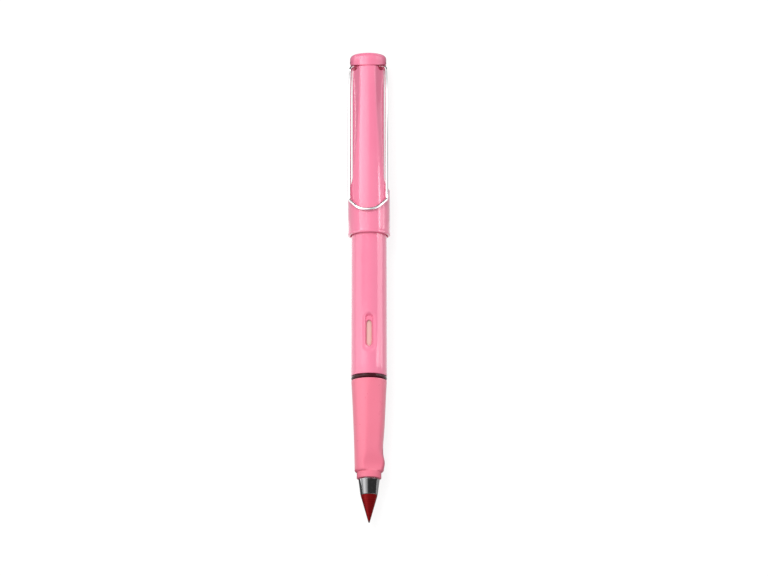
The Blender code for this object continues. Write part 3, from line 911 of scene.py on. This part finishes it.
@dataclass
class BarrelTube(SubAssembly):
    """Barrel with a window in a scooped recess, front and back, and a closed tail."""

    body = Body.BARREL
    tail_radius: float = 0.0061
    bore: float = 0.00475
    end_wall: float = 0.0016
    tail_round: float = 0.0012
    front_round: float = 0.00018
    front_reach: float = 0.00022
    window: Opening = Opening(0.0090, 0.0195, 0.0033, 0.0034, 0.5)
    ledge: Opening = Opening(0.0165, 0.0212, 0.0032, 0.0050, 0.75)
    side_draft: float = 0.5
    tool_outer: float = 0.0080
    tool_round: float = 0.495
    tool_steps: int = 14
    scoop_low: float = 0.0071
    scoop_top: float = 0.0217
    scoop_width: float = 0.0051
    scoop_depth: float = 0.00034
    scoop_slope: float = 0.00115
    scoop_power: float = 1.5
    ring_spacing: float = 0.00018
    long_spacing: float = 0.004
    columns: int = 320
    start: float = field(init=False)
    end: float = field(init=False)
    front_radius: float = field(init=False)

    def __post_init__(self) -> None:
        """Find the barrel's two ends and its radius in the frame."""
        self.start, self.end, self.front_radius = self.line.reach("barrel")

    def build(self) -> None:
        """Turn the barrel, scoop it round the windows and cut them through."""
        near, far = self.start + self.scoop_low, self.start + self.scoop_top
        front, top, taper = self.start - self.front_reach, self.end, self.round_radius
        outline = [(0.0, top)]
        outline += arc((self.tail_radius - self.tail_round, top - self.tail_round),
                       self.tail_round, QUARTER, -QUARTER, steps=8)
        stops = [(top - self.tail_round, far + self.ring_spacing, self.long_spacing),
                 (far + self.ring_spacing, near - self.ring_spacing, self.ring_spacing),
                 (near - self.ring_spacing, front + self.front_round, self.long_spacing)]
        for upper, lower, spacing in stops:
            outline += rungs((taper(upper), upper), (taper(lower), lower), spacing)
        outline += arc((self.front_radius - self.front_round, front + self.front_round),
                       self.front_round, 0.0, -QUARTER, steps=5)[1:]
        outline += [(self.bore, front), (self.bore, top - self.end_wall),
                    (0.0, top - self.end_wall)]
        piece = Workpiece.turned("barrel_tube", outline, self.columns)
        piece.reshape(self.scoop)
        for side in SIDES:
            for opening in (self.window, self.ledge):
                piece.cut(self.tool(side, opening))
        self.hand_over(piece, PINK, "barrel")

    def round_radius(self, height: float) -> float:
        """Radius of the plain barrel at a height above the nib's point."""
        share = (height - self.start) / (self.end - self.start)
        return self.front_radius + (self.tail_radius - self.front_radius) * share

    def scoop(self, at: Places) -> Places:
        """Sink a shallow dish round each window.

        Args:
            at: Places of the turned barrel.

        Returns:
            The new places; the bore stays.
        """
        half, power = self.scoop_width / 2.0, self.scoop_power
        middle = self.start + (self.scoop_low + self.scoop_top) / 2.0
        reach = (self.scoop_top - self.scoop_low) / 2.0 - half
        along = np.maximum(np.abs(at.height - middle) - reach, 0.0)
        inside = half - np.hypot(at.radius * np.sin(at.angle), along)
        share = np.clip(inside / self.scoop_slope, 0.0, 1.0)
        depth = self.scoop_depth * share ** power * (1.0 + power - power * share)
        outer = at.radius > (self.bore + self.tail_radius) / 2.0
        return at._replace(radius=np.where(outer, at.radius - depth, at.radius))

    def tool(self, side: float, opening: Opening) -> Workpiece:
        """Make one tapered cutter with half-round ends.

        Args:
            side: -1 for the front of the barrel and 1 for its back.
            opening: What it cuts.

        Returns:
            The cutter, standing in the barrel's wall.
        """
        outer, inner, width = self.tool_outer, opening.floor, opening.width
        length = opening.top - opening.low
        middle = self.start + (opening.low + opening.top) / 2.0
        surface = self.round_radius(middle)
        tool = Workpiece.added("window_tool", bpy.ops.mesh.primitive_cube_add, size=1.0,
                               location=(0.0, side * (outer + inner) / 2.0, middle),
                               scale=(width, outer - inner, length))
        with editing(tool.obj) as mesh:
            for edge in mesh.edges:
                across = edge.verts[0].co - edge.verts[1].co
                edge.select = abs(across.y) > MERGE_DISTANCE
            bmesh.update_edit_mesh(tool.obj.data)
            bpy.ops.mesh.bevel(offset=width * self.tool_round, segments=self.tool_steps,
                               affect="EDGES")
        for reach in (outer, inner):
            spread = 2.0 * self.side_draft * (reach - surface)
            stretch = 2.0 * opening.end_draft * (reach - surface)
            with editing(tool.obj) as mesh:
                for vertex in mesh.verts:
                    vertex.select = abs(abs(vertex.co.y) - reach) < MERGE_DISTANCE
                mesh.select_flush(True)
                bmesh.update_edit_mesh(tool.obj.data)
                bpy.ops.transform.resize(
                    value=((width + spread) / width, 1.0, (length + stretch) / length),
                    center_override=(0.0, side * reach, middle))
        return tool


@dataclass
class PostedCap(SubAssembly):
    """Cap shell with its flats, facets and clip notches, its liner and its crown."""

    body = Body.CAP
    mouth_bore: float = 0.00655
    wall: float = 0.0007
    mouth_depth: float = 0.0155
    top_radius: float = 0.00635
    rim_flare: float = 0.0001
    rim_length: float = 0.0014
    rim_round: float = 0.00035
    rim_steps: int = 6
    top_round: float = 0.0002
    flat_half_width: float = 0.00545
    flat_wall: float = 0.0006
    shoulder_wall: float = 0.0006
    press_start: float = 0.001
    ramp_radius: float = 0.0060
    plug_depth: float = 0.0110
    plug_bore: float = 0.0037
    flank_angle: float = math.radians(60.0)
    flank_distance: float = 0.00521
    flank_slope: float = 0.012
    flank_sweep: float = 0.526
    edge_sharpness: float = 60.0
    notch_side: float = 0.00445
    notch_front: float = 0.0060
    notch_back: float = -0.0012
    notch_drop: float = 0.00028
    notch_radius: float = 0.00078
    slot_forward: float = 0.0006
    slot_rise: float = 0.0009
    slot_radius: float = 0.00115
    twist: float = math.radians(-2.6)
    lean: float = math.radians(-0.32)
    liner_wall: float = 0.0006
    liner_end: float = 0.0010
    liner_edge: float = 0.0002
    liner_floor_round: float = 0.0008
    crown_length: float = 0.0044
    crown_round: float = 0.0014
    crown_edge: float = 0.00015
    crown_reach: float = 0.0002
    crown_arch: float = 0.0016
    arch_end: float = math.radians(96.0)
    arch_fall: float = math.radians(18.0)
    plug_radius: float = 0.0034
    ring_spacing: float = 0.00028
    long_spacing: float = 0.0045
    columns: int = 320
    start: float = field(init=False)
    top: float = field(init=False)
    radius: float = field(init=False)
    flat_start: float = field(init=False)

    def __post_init__(self) -> None:
        """Find the cap's two ends, its radius and the start of the side flats' ramps."""
        self.start, self.top, _ = self.line.reach("cap_shell")
        self.radius = self.mouth_bore + self.wall
        self.flat_start = self.start + self.mouth_depth + self.shoulder_wall

    def build(self) -> None:
        """Make the shell, the liner and the crown."""
        self.shell()
        self.liner()
        self.crown()

    def hand_over(self, piece: Workpiece, look: Finish, *nodes: str) -> None:
        """Seat a piece as the cap was posted, a hair askew, and hand it over."""
        piece.seat(self.start, self.twist, self.lean)
        super().hand_over(piece, look, *nodes)

    def shell(self) -> None:
        """Turn the shell, press its flats and facets in, and cut its slots and notches."""
        low, top, radius = self.start, self.top, self.radius
        rim, lip = self.rim_round, self.rim_round / 3.0
        step, plug = low + self.mouth_depth, top - self.plug_depth
        upper_bore, shoulder = self.flat_half_width - self.flat_wall, (radius, self.flat_start)
        outline = [(self.plug_bore, top)]
        outline += arc((self.top_radius - self.top_round, top - self.top_round), self.top_round,
                       QUARTER, -QUARTER, steps=5)
        outline += rungs(outline[-1], shoulder, self.ring_spacing)
        outline += rungs(shoulder, (radius, step - self.shoulder_wall), self.ring_spacing)
        outline += rungs(outline[-1], (radius, low + self.rim_length), self.long_spacing)
        for share in (count / self.rim_steps for count in range(1, self.rim_steps + 1)):
            swell = self.rim_flare * (3.0 - 2.0 * share) * share ** 2
            outline.append((radius + swell, low + self.rim_length * (1.0 - share / 2.0)))
        outline += arc((radius + self.rim_flare - rim, low + rim), rim, 0.0, -QUARTER, steps=8)
        outline += arc((self.mouth_bore + lip, low + lip), lip, -QUARTER, -QUARTER, steps=4)
        outline += [(self.mouth_bore, step), (upper_bore, step), (upper_bore, plug),
                    (self.plug_bore, plug)]
        piece = Workpiece.turned("cap", outline, self.columns)
        piece.reshape(self.press)
        piece.cut(Workpiece.bar("foot_slot", self.slot_radius, 4.0 * radius,
                                (0.0, -self.slot_forward, top + self.slot_rise),
                                (0.0, QUARTER, 0.0)))
        middle = -(self.notch_front + self.notch_back) / 2.0
        for side in SIDES:
            piece.cut(Workpiece.bar("notch_tool", self.notch_radius,
                                    self.notch_front - self.notch_back,
                                    (side * self.notch_side, middle, top - self.notch_drop),
                                    (QUARTER, 0.0, 0.0)))
        self.hand_over(piece, PINK, "cap_shell")

    def press(self, at: Places) -> Places:
        """Press the side flats, with their ramps, and the swept facets into the shell.

        Args:
            at: Places of the turned shell.

        Returns:
            The new places; the bores stay.
        """
        ramp, floor = self.ramp_radius, self.flat_half_width
        sweep = math.acos(1.0 - (self.radius - floor) / ramp)
        centre = self.flat_start + ramp * math.sin(sweep)
        below = np.clip((centre - at.height) / ramp, 0.0, math.sin(sweep))
        side = floor + ramp * (1.0 - np.sqrt(1.0 - below ** 2))
        side = side + np.maximum(0.0, self.flat_start - at.height) * math.tan(sweep)
        down = self.top - at.height
        flank = self.flank_distance + self.flank_slope * down + down ** 2 / (2 * self.flank_sweep)
        flats = [(QUARTER, side), (-QUARTER, side), (self.flank_angle, flank),
                 (-self.flank_angle, flank)]
        new = pressed(at.radius, at.angle, flats, self.edge_sharpness)
        outside = (at.height > self.flat_start - self.press_start) & (at.radius > floor)
        outside |= at.radius >= self.radius - MERGE_DISTANCE
        return at._replace(radius=np.where(outside, new, at.radius))

    def liner(self) -> None:
        """Turn the thin inner cup."""
        low, top, outer = self.line.reach("cap_liner")
        bore, floor = outer - self.liner_wall, top - self.liner_end
        edge, inner = self.liner_edge, self.liner_floor_round
        outline = [(0.0, top), (outer - edge, top), (outer, top - edge), (outer, low + edge),
                   (outer - edge, low), (bore + edge, low), (bore, low + edge)]
        outline += arc((bore - inner, floor - inner), inner, 0.0, QUARTER)
        outline.append((0.0, floor))
        piece = Workpiece.turned("cap_inner_cup", outline, SMALL_TURN_STEPS)
        self.hand_over(piece, LINER_WHITE, "cap_liner")

    def crown(self) -> None:
        """Turn the crown and the plug under it."""
        low, top, outer = self.line.reach("cap_crown")
        seat, edge = top - self.crown_length - self.crown_reach, self.crown_edge
        outline = [(0.0, top)]
        outline += arc((outer - self.crown_round, top - self.crown_round), self.crown_round,
                       QUARTER, -QUARTER, steps=14)
        outline += arc((outer - edge, seat + edge), edge, 0.0, -QUARTER, steps=4)
        outline += [(self.plug_radius, seat), (self.plug_radius, low), (0.0, low)]
        piece = Workpiece.turned("crown", outline)
        piece.reshape(self.arch)
        self.hand_over(piece, PINK, "cap_crown")

    def arch(self, at: Places) -> Places:
        """Lift the crown's lower edge at its sides, where the wire's feet pass under it.

        Args:
            at: Places of the turned crown.

        Returns:
            The new places; the plug and the top stay.
        """
        seat = self.line.reach("cap_crown")[1] - self.crown_length - self.crown_reach
        lower = (at.height > seat - MERGE_DISTANCE) & (at.height < seat + self.crown_length / 3.0)
        lower &= at.radius > self.plug_radius - MERGE_DISTANCE
        turn = np.abs(at.angle)
        front = 1.0 - np.cos(np.minimum(turn, QUARTER))
        back = np.cos(np.clip((turn - self.arch_end) / self.arch_fall, 0.0, 1.0) * QUARTER)
        rise = self.crown_arch * front * back
        return at._replace(height=np.where(lower, at.height + rise, at.height))


@dataclass
class WireClip(SubAssembly):
    """Bent wire clip: two feet, two bowed legs and a toe that wraps the front of the cap."""

    body = Body.CLIP
    cap: PostedCap
    wire: float = 0.0005
    wire_resolution: int = 6
    length: float = 0.05250
    leg_gap: float = 0.00055
    leg_spacing: float = 0.0012
    top_draw: float = 0.00042
    bow_length: float = 0.0150
    foot_forward: float = 0.0006
    foot_lift: float = 0.00090
    foot_reach: float = 0.0022
    foot_bend: float = 0.0012
    twist: float = math.radians(-3.4)
    corner: float = 0.0014
    toe_radius: float = 0.0070
    toe_slope: float = math.radians(39.0)
    wrap_gap: float = 0.0003
    steps: int = 14

    def build(self) -> None:
        """Bend the wire along its route and make it a mesh."""
        foot_at = self.line.reach("cap_clip")[1] + self.foot_lift
        half = self.route()
        whole = half + [(-side, forward, height) for side, forward, height in half[-2::-1]]
        bpy.ops.object.select_all(action="DESELECT")
        bpy.ops.curve.primitive_bezier_curve_add()
        curve = bpy.context.object.data
        curve.splines.clear()
        curve.bevel_depth = self.wire
        curve.bevel_resolution = self.wire_resolution
        curve.use_fill_caps = True
        spline = curve.splines.new("POLY")
        spline.points.add(len(whole) - 1)
        for point, (side, forward, height) in zip(spline.points, whole):
            point.co = (side, -forward, foot_at + height, 1.0)
        bpy.ops.object.convert(target="MESH")
        piece = Workpiece(bpy.context.object, "wire_clip")
        with editing(piece.obj, "SELECT"):
            bpy.ops.mesh.remove_doubles(threshold=MERGE_DISTANCE)
            bpy.ops.mesh.normals_make_consistent(inside=False)
        piece.seat(self.cap.start, self.twist, self.cap.lean)
        self.hand_over(piece, WIRE_CHROME, "cap_clip")

    def route(self) -> list[Triple]:
        """Centre line of the right half, from its foot to the middle of the toe.

        Returns:
            Points (across, forward, height); height is measured from the feet.
        """
        side = self.cap.flat_half_width + self.leg_gap + self.wire
        top_side, bend, ahead = side - self.top_draw, self.foot_bend, self.foot_forward
        wrap = self.cap.radius + self.wrap_gap + self.wire
        around = wrap * math.asin(side / wrap)
        forward = wrap * math.cos(around / wrap)
        toe = self.toe(around)
        drop = toe[0][1]
        points = [(top_side - self.foot_reach, ahead, 0.0)]
        for across, height in arc((top_side - bend, -bend), bend, QUARTER, -QUARTER, self.steps):
            points.append((across, ahead, height))
        for _, height in rungs((0.0, -bend), (0.0, drop), self.leg_spacing):
            down = (-bend - height) / (-bend - drop)
            bow = min(1.0, (-bend - height) / self.bow_length)
            points.append((top_side + self.top_draw * math.sin(bow * QUARTER),
                           ahead + (forward - ahead) * down, height))
        for place, height in toe[1:]:
            points.append((wrap * math.sin(place / wrap), wrap * math.cos(place / wrap), height))
        return points

    def toe(self, around: float) -> list[Point]:
        """Corner, slope and toe, drawn flat before they are wrapped round the cap.

        Args:
            around: Distance round the cap at which the leg ends.

        Returns:
            Points (distance round the cap, height), from the leg's end to the middle of the toe.
        """
        corner, size, slope = self.corner, self.toe_radius, self.toe_slope
        inset, turn = around - corner, QUARTER - slope
        reach = inset + corner * math.sin(slope) - size * math.sin(slope)
        low = size * (1.0 - math.cos(slope)) + reach * math.tan(slope) - self.length
        points = arc((inset, low + corner * math.cos(slope)), corner, 0.0, -turn, self.steps)
        return points + arc((0.0, size - self.length), size, -turn, -slope, 2 * self.steps)


FLAT_LIFT = 0.0003
ARCH_STEP = 4.0
# Maroon glow of the two notch sheets: painted shade, the colour of the notches' shaded hollows as
# the chrome feet reflect it.
PAINTED_NOTCH_SHADE = (0.25, 0.012, 0.045)


@dataclass(frozen=True)
class Panel:
    """A reflector, a flag, or a small sheet of painted shade close to the pen: an arched sheet
    round the pen, or a flat one on the floor.

    An arch runs from first to last, directions in degrees from overhead, and a flat sheet
    between two distances across. Both run from start to end along the pen. The glow is that
    of the first edge, where 1 is white; it runs to last_glow, or else stays.
    """

    name: str
    first: float
    last: float
    start: float
    end: float
    glow: float
    last_glow: float | None = None
    radius: float = 0.12
    flat: bool = False
    tint: Triple = (1.0, 1.0, 1.0)

    def section(self, height: float) -> list[Point]:
        """Points of the panel's cross-section.

        Args:
            height: Height of the pen's axis above the floor.

        Returns:
            Points as (across, up).
        """
        if self.flat:
            return [(self.first, FLAT_LIFT), (self.last, FLAT_LIFT)]
        steps = max(2, math.ceil(abs(self.last - self.first) / ARCH_STEP))
        return arc((0.0, height), self.radius, QUARTER - math.radians(self.first),
                   math.radians(self.first - self.last), steps)

    def material(self, height: float) -> bpy.types.Material:
        """Build a glow that runs from one edge of the panel to the other.

        Args:
            height: Height of the pen's axis above the floor.

        Returns:
            The material.
        """
        bench = NodeBench(bpy.data.materials.new(self.name))
        bench.tree.nodes.remove(bench.tree.nodes["Principled BSDF"])
        strength = self.glow
        if self.last_glow is not None:
            axes = bench.axes()
            above = bench.reckon("SUBTRACT", axes["Z"], height)
            around = bench.reckon("ARCTAN2", axes["X"], above)
            strength = bench.spread(around, self.glow, self.last_glow, math.radians(self.first),
                                    math.radians(self.last))
        glow = bench.add("Emission", {"Color": self.tint, "Strength": strength})
        bench.feed("Material Output", {"Surface": glow.outputs["Emission"]})
        return bench.owner


PANELS = (
    Panel("cap_left_bright", -54, -24, 0.048, 0.12, 5.7, 3.0),
    Panel("cap_left_soft", -24, 6, 0.048, 0.12, 3.0, 1.0),
    Panel("crown_left_soft", -100, -54, 0.1035, 0.12, 2.8, 3.4),
    Panel("crown_right_soft", 50, 100, 0.1035, 0.12, 2.0),
    Panel("wire_left_soft", -100, -46, 0.12, 0.155, 0.6),
    Panel("wire_front_soft", -46, 46, 0.12, 0.155, 0.85),
    Panel("wire_right_soft", 46, 100, 0.12, 0.155, 0.6),
    Panel("cap_front_flag", 6, 48, 0.078, 0.1035, 0.3),
    Panel("barrel_left_soft", -95, -50, 0.016, 0.048, 2.3, 2.4),
    Panel("window_left_soft", -94, -58, -0.006, 0.016, 2.4, 2.5),
    Panel("window_left_bright", -58, -41, -0.006, 0.016, 2.5, 3.8),
    Panel("window_left_fall", -41, 2, -0.006, 0.016, 3.8, 0.9),
    Panel("grip_left_soft", -94, -50, -0.055, -0.006, 2.3, 2.2),
    Panel("grip_left_bright", -50, -38, -0.055, -0.006, 2.2, 2.4),
    Panel("grip_left_fall", -38, 10, -0.055, -0.006, 2.4, 0.9),
    Panel("right_inner_strip", 53, 64, 0.043, 0.073, 7.5, radius=0.119),
    Panel("right_inner_strip_low", 45, 63, -0.009, 0.0045, 5.2, radius=0.119),
    Panel("right_outer_strip", 84, 95, 0.043, 0.056, 4.4, radius=0.119),
    Panel("right_outer_strip_low", 80, 92, -0.009, 0.0045, 4.2, radius=0.119),
    Panel("right_soft", 55, 99, -0.009, 0.056, 3.1, 3.5),
    Panel("nib_front_flag", -12, 96, -0.12, -0.050, 0.03, radius=0.06),
    Panel("nib_left_rise", -96, -58, -0.12, -0.050, 0.1, 0.8, radius=0.06),
    Panel("nib_left_fall", -58, -12, -0.12, -0.050, 0.8, 0.1, radius=0.06),
    Panel("nib_left_floor", -0.06, -0.003, -0.10, -0.063, 0.06, flat=True),
    Panel("nib_right_floor", 0.003, 0.06, -0.10, -0.055, 0.25, flat=True),
    Panel("barrel_left_floor", -0.05, -0.004, -0.030, 0.026, 1.6, flat=True),
    Panel("barrel_right_floor", 0.004, 0.05, -0.030, 0.026, 1.3, flat=True),
    Panel("cap_left_floor", -0.04, -0.004, 0.036, 0.072, 0.3, flat=True),
    Panel("cap_right_floor", 0.004, 0.04, 0.036, 0.072, 0.8, flat=True),
    Panel("wire_left_floor", -0.05, -0.0076, 0.072, 0.098, 0.35, flat=True),
    Panel("wire_right_floor", 0.0076, 0.05, 0.072, 0.098, 0.35, flat=True),
    # Two dark sheets close round the crown over the wire's feet: a painted shadow, standing for the
    # crown's shaded underside that the tops of the wire reflect.
    Panel("foot_left_painted_shadow", -100, -64, 0.0782, 0.0808, 0.02, radius=0.0072),
    Panel("foot_right_painted_shadow", 64, 100, 0.0782, 0.0808, 0.02, radius=0.0072),
    Panel("far_flag", -92, 92, 0.155, 0.9, 0.02),
    Panel("near_flag", -92, 92, -0.9, -0.125, 0.02),
    # Two maroon sheets just inside the notches: painted shade, standing for the shaded pink hollows
    # of the notches that the chrome feet reflect.
    Panel("notch_left_painted_shade", -74, -36, 0.0772, 0.0800, 1.0, radius=0.0056, tint=PAINTED_NOTCH_SHADE),
    Panel("notch_right_painted_shade", 36, 74, 0.0772, 0.0800, 1.0, radius=0.0056, tint=PAINTED_NOTCH_SHADE),
)


@dataclass
class Studio:
    """Pale floor, soft lamp, reflectors, surround and the camera."""

    line: PenLine
    view_tilt: float = math.radians(12.5)
    lens: float = 800.0
    sensor: float = 36.0
    view_width: float = 0.26611
    view_right: float = 0.00516
    view_height: float = 0.0831
    view_near: float = 0.1
    floor_size: float = 6.0
    floor_cells: int = 8
    floor_gap: float = 0.0001
    floor_colour: Triple = (0.25, 0.25, 0.25)
    floor_roughness: float = 0.9
    floor_glow: float = 0.82
    fill: Triple = (0.66, 0.66, 0.66)
    lamp_way: Triple = (-0.24, 0.36, 0.9)
    lamp_distance: float = 1.0
    lamp_size: float = 0.4
    lamp_radiance: float = 8.1

    def build(self) -> None:
        """Set everything round the pen."""
        self.camera()
        self.surround()
        self.floor()
        self.lamp()
        for panel in PANELS:
            self.hang(panel)

    def camera(self) -> None:
        """Stand the camera where the photograph was taken from, with a long lens."""
        data = bpy.data.cameras.new("camera")
        data.lens, data.sensor_width = self.lens, self.sensor
        distance = self.lens / self.sensor * self.view_width
        back = Vector((0.0, -math.sin(self.view_tilt), math.cos(self.view_tilt)))
        centre = Vector((self.view_right, self.line.nib_y + self.view_height, self.line.height))
        camera = bpy.data.objects.new("camera", data)
        bpy.context.scene.collection.objects.link(camera)
        camera.location = centre + back * distance
        camera.rotation_mode = "QUATERNION"
        camera.rotation_quaternion = (-back).to_track_quat("-Z", "Y")
        data.clip_start, data.clip_end = self.view_near, 4.0 * distance
        bpy.context.scene.camera = camera

    def surround(self) -> None:
        """Pale for the camera and in the gloss, and a plain grey fill for everything else."""
        world = bpy.data.worlds.new("surround")
        bpy.context.scene.world = world
        bench = NodeBench(world)
        bench.feed("Background", {"Color": self.fill})
        fill, pale = bench.tree.nodes["Background"], bench.add("Background")
        shader = bench.shown(fill.outputs["Background"], pale.outputs["Background"])
        bench.feed("World Output", {"Surface": shader})

    def floor(self) -> None:
        """Lay the pale floor, which keeps the pen's soft shadow."""
        bpy.ops.object.select_all(action="DESELECT")
        bpy.ops.mesh.primitive_grid_add(
            x_subdivisions=self.floor_cells, y_subdivisions=self.floor_cells,
            size=self.floor_size, location=(0.0, 0.0, -self.floor_gap))
        floor = bpy.context.object
        floor.name = "floor"
        bench = NodeBench(bpy.data.materials.new("pale_floor"))
        bench.feed("Principled BSDF", {"Base Color": self.floor_colour,
                                       "Roughness": self.floor_roughness,
                                       "Specular IOR Level": 0.0})
        plain = bench.tree.nodes["Principled BSDF"].outputs["BSDF"]
        glow = bench.add("Emission", {"Strength": self.floor_glow}).outputs["Emission"]
        bright = bench.add("AddShader", {0: plain, 1: glow}).outputs["Shader"]
        bench.feed("Material Output", {"Surface": bench.shown(plain, bright)})
        floor.data.materials.append(bench.owner)

    def lamp(self) -> None:
        """Hang a soft square lamp over the pen, facing it, which doesn't show in its gloss."""
        data = bpy.data.lights.new("key", "AREA")
        data.shape = "RECTANGLE"
        data.size = data.size_y = self.lamp_size
        data.energy = self.lamp_radiance * math.pi * self.lamp_size * self.lamp_size
        lamp = bpy.data.objects.new("key", data)
        bpy.context.scene.collection.objects.link(lamp)
        out = Vector(self.lamp_way).normalized()
        lamp.location = out * self.lamp_distance + Vector((0.0, 0.0, self.line.height))
        lamp.rotation_mode = "QUATERNION"
        lamp.rotation_quaternion = out.to_track_quat("Z", "Y")
        lamp.visible_glossy = lamp.visible_camera = False

    def hang(self, panel: Panel) -> None:
        """Hang a panel that shows only in glossy surfaces."""
        obj = Workpiece.drawn(panel.name, panel.section(self.line.height), closed=False).obj
        with editing(obj, "SELECT"):
            bpy.ops.transform.translate(value=(0.0, panel.start, 0.0))
            bpy.ops.mesh.extrude_region_move(
                TRANSFORM_OT_translate={"value": (0.0, panel.end - panel.start, 0.0)})
        obj.data.materials.append(panel.material(self.line.height))
        obj.visible_camera = obj.visible_diffuse = False
        obj.visible_shadow = obj.visible_transmission = False


def main() -> None:
    """Dress the pen from its nib to its crown and set up the studio."""
    logging.basicConfig(level=logging.INFO, format="%(name)s: %(message)s")
    bpy.context.scene.view_settings.view_transform = "Standard"
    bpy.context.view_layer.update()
    line = PenLine.from_frame()
    cap = PostedCap(line)
    for part in (WritingEnd(line), Grip(line), JointRing(line), BarrelTube(line), cap,
                 WireClip(line, cap), Studio(line)):
        part.build()


if __name__ == "__main__":
    main()
